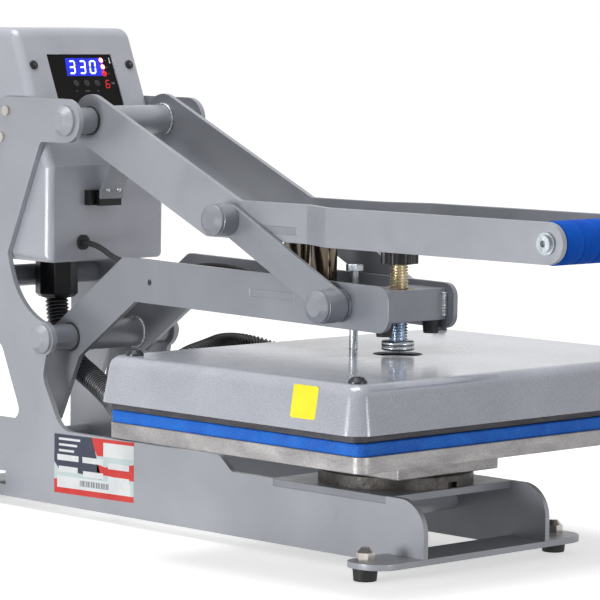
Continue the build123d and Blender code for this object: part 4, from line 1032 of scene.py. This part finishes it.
# Widths of the softened edges
edge_widths = [
    (0.8, ["arm_front_tube", "lower_platen"]),
    (0.7, ["side_plate_left", "side_plate_right", "lever_arm_left", "lever_arm_right"]),
    (0.6, ["platen_arm_left", "platen_arm_right", "link_left", "link_right", "foot_bars", "heat_platen",
           "pressure_knob"]),
    (0.5, ["rubber_feet"]),
    (0.4, ["shelf_plate", "arm_cross_plates", "keeper_plate", "control_box", "pivot_caps", "link_caps",
           "link_collars", "hold_magnets", "switch_rocker", "conduit_gland"]),
    (0.3, ["back_cover", "pivot_spacers", "guide_bolt", "power_inlet", "switch_housing"]),
    (0.2, ["display_panel"]),
]
join_gap = 0.000002
flat_angle = math.radians(0.3)
edge_angle = math.radians(35)
edge_segments = 2


def soften(obj, width):
    """Small rounded edges on a carried-over part, so that its edges catch the light."""
    weld = obj.modifiers.new("weld", "WELD")
    weld.merge_threshold = join_gap
    flat = obj.modifiers.new("flat", "DECIMATE")
    flat.decimate_type = "DISSOLVE"
    flat.angle_limit = flat_angle
    edge = obj.modifiers.new("edge", "BEVEL")
    edge.width = width * mm
    edge.segments = edge_segments
    edge.limit_method = "ANGLE"
    edge.angle_limit = edge_angle
    normals = obj.modifiers.new("normals", "WEIGHTED_NORMAL")
    normals.keep_sharp = True


for material, names in finishes:
    for name in names:
        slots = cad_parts[name].data.materials
        slots.clear()
        slots.append(material)
for width, names in edge_widths:
    for name in names:
        soften(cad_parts[name], width)


# Floor, backdrop light and lamps, in metres
floor_size = 30.0
floor_lift_near = 0.54
floor_lift_far = 0.75
floor_near = 0.6
floor_far = 2.6
floor_bounce = 0.22
sky_light = 0.36
white_light = 1.0
lamp_aim = place(0, 100, 200)
lamps = [
    ("side", Vector((-1.3, 0.0, 0.12)), (0.35, 0.3), 9.5),
    ("front", Vector((0.05, -1.6, 0.2)), (0.3, 0.3), 3.5),
    ("top", Vector((-0.4, 0.2, 2.5)), (1.6, 1.6), 38),
]


def seen_directly(tree):
    """One where the eye or a reflection meets the surface, zero for the light that it gives off."""
    path = tree.nodes.new("ShaderNodeLightPath")
    total = path.outputs["Is Camera Ray"]
    for name in ("Is Glossy Ray", "Is Transmission Ray"):
        largest = tree.nodes.new("ShaderNodeMath")
        largest.operation = "MAXIMUM"
        tree.links.new(total, largest.inputs[0])
        tree.links.new(path.outputs[name], largest.inputs[1])
        total = largest.outputs["Value"]
    return total


def lift_node(tree):
    """Light from the floor itself, which rises with the distance from the press."""
    coords = tree.nodes.new("ShaderNodeTexCoord").outputs["Object"]
    distance = tree.nodes.new("ShaderNodeVectorMath")
    distance.operation = "LENGTH"
    tree.links.new(coords, distance.inputs[0])
    strength = range_node(tree, distance.outputs["Value"], floor_lift_near, floor_lift_far,
                          floor_near, floor_far)
    lift = tree.nodes.new("ShaderNodeEmission")
    tree.links.new(strength, lift.inputs["Strength"])
    return lift.outputs["Emission"]


def add_floor():
    """A white floor to the eye, which keeps the shadow and gives little light back to the press."""
    material = surface("floor", (236, 236, 236), (242, 242, 242), (0.85, 0.95), patch=1.5, grain=200.0,
                       grain_depth=0.02, specular=0.0)
    tree = material.node_tree
    bright = tree.nodes.new("ShaderNodeAddShader")
    tree.links.new(tree.nodes["Principled BSDF"].outputs["BSDF"], bright.inputs[0])
    tree.links.new(lift_node(tree), bright.inputs[1])
    dim = tree.nodes.new("ShaderNodeBsdfDiffuse")
    dim.inputs["Color"].default_value = (floor_bounce, floor_bounce, floor_bounce, 1)
    choice = tree.nodes.new("ShaderNodeMixShader")
    tree.links.new(seen_directly(tree), choice.inputs["Fac"])
    tree.links.new(dim.outputs["BSDF"], choice.inputs[1])
    tree.links.new(bright.outputs["Shader"], choice.inputs[2])
    tree.links.new(choice.outputs["Shader"], tree.nodes["Material Output"].inputs["Surface"])
    half = floor_size / 2
    corners = [(a, b, 0) for a, b in rectangle((-half, -half), (half, half))]
    floor = add_mesh("floor", corners, [(0, 1, 2, 3)], material, False)


def add_world():
    world = bpy.data.worlds.new("studio")
    bpy.context.scene.world = world
    world.use_nodes = True
    tree = world.node_tree
    background = tree.nodes["Background"]
    background.inputs["Color"].default_value = (1, 1, 1, 1)
    strength = range_node(tree, seen_directly(tree), sky_light, white_light, 0.0, 1.0)
    tree.links.new(strength, background.inputs["Strength"])


def add_lamp(name, spot, size, power):
    data = bpy.data.lights.new(name, "AREA")
    data.shape = "RECTANGLE"
    data.size, data.size_y = size
    data.energy = power
    lamp = bpy.data.objects.new(name, data)
    lamp.location = spot
    lamp.rotation_euler = (lamp_aim - spot).to_track_quat("-Z", "Y").to_euler()
    bpy.context.scene.collection.objects.link(lamp)
    lamp.visible_camera = False


add_floor()
add_world()
for lamp in lamps:
    add_lamp(*lamp)
bpy.context.scene.view_settings.view_transform = "Standard"
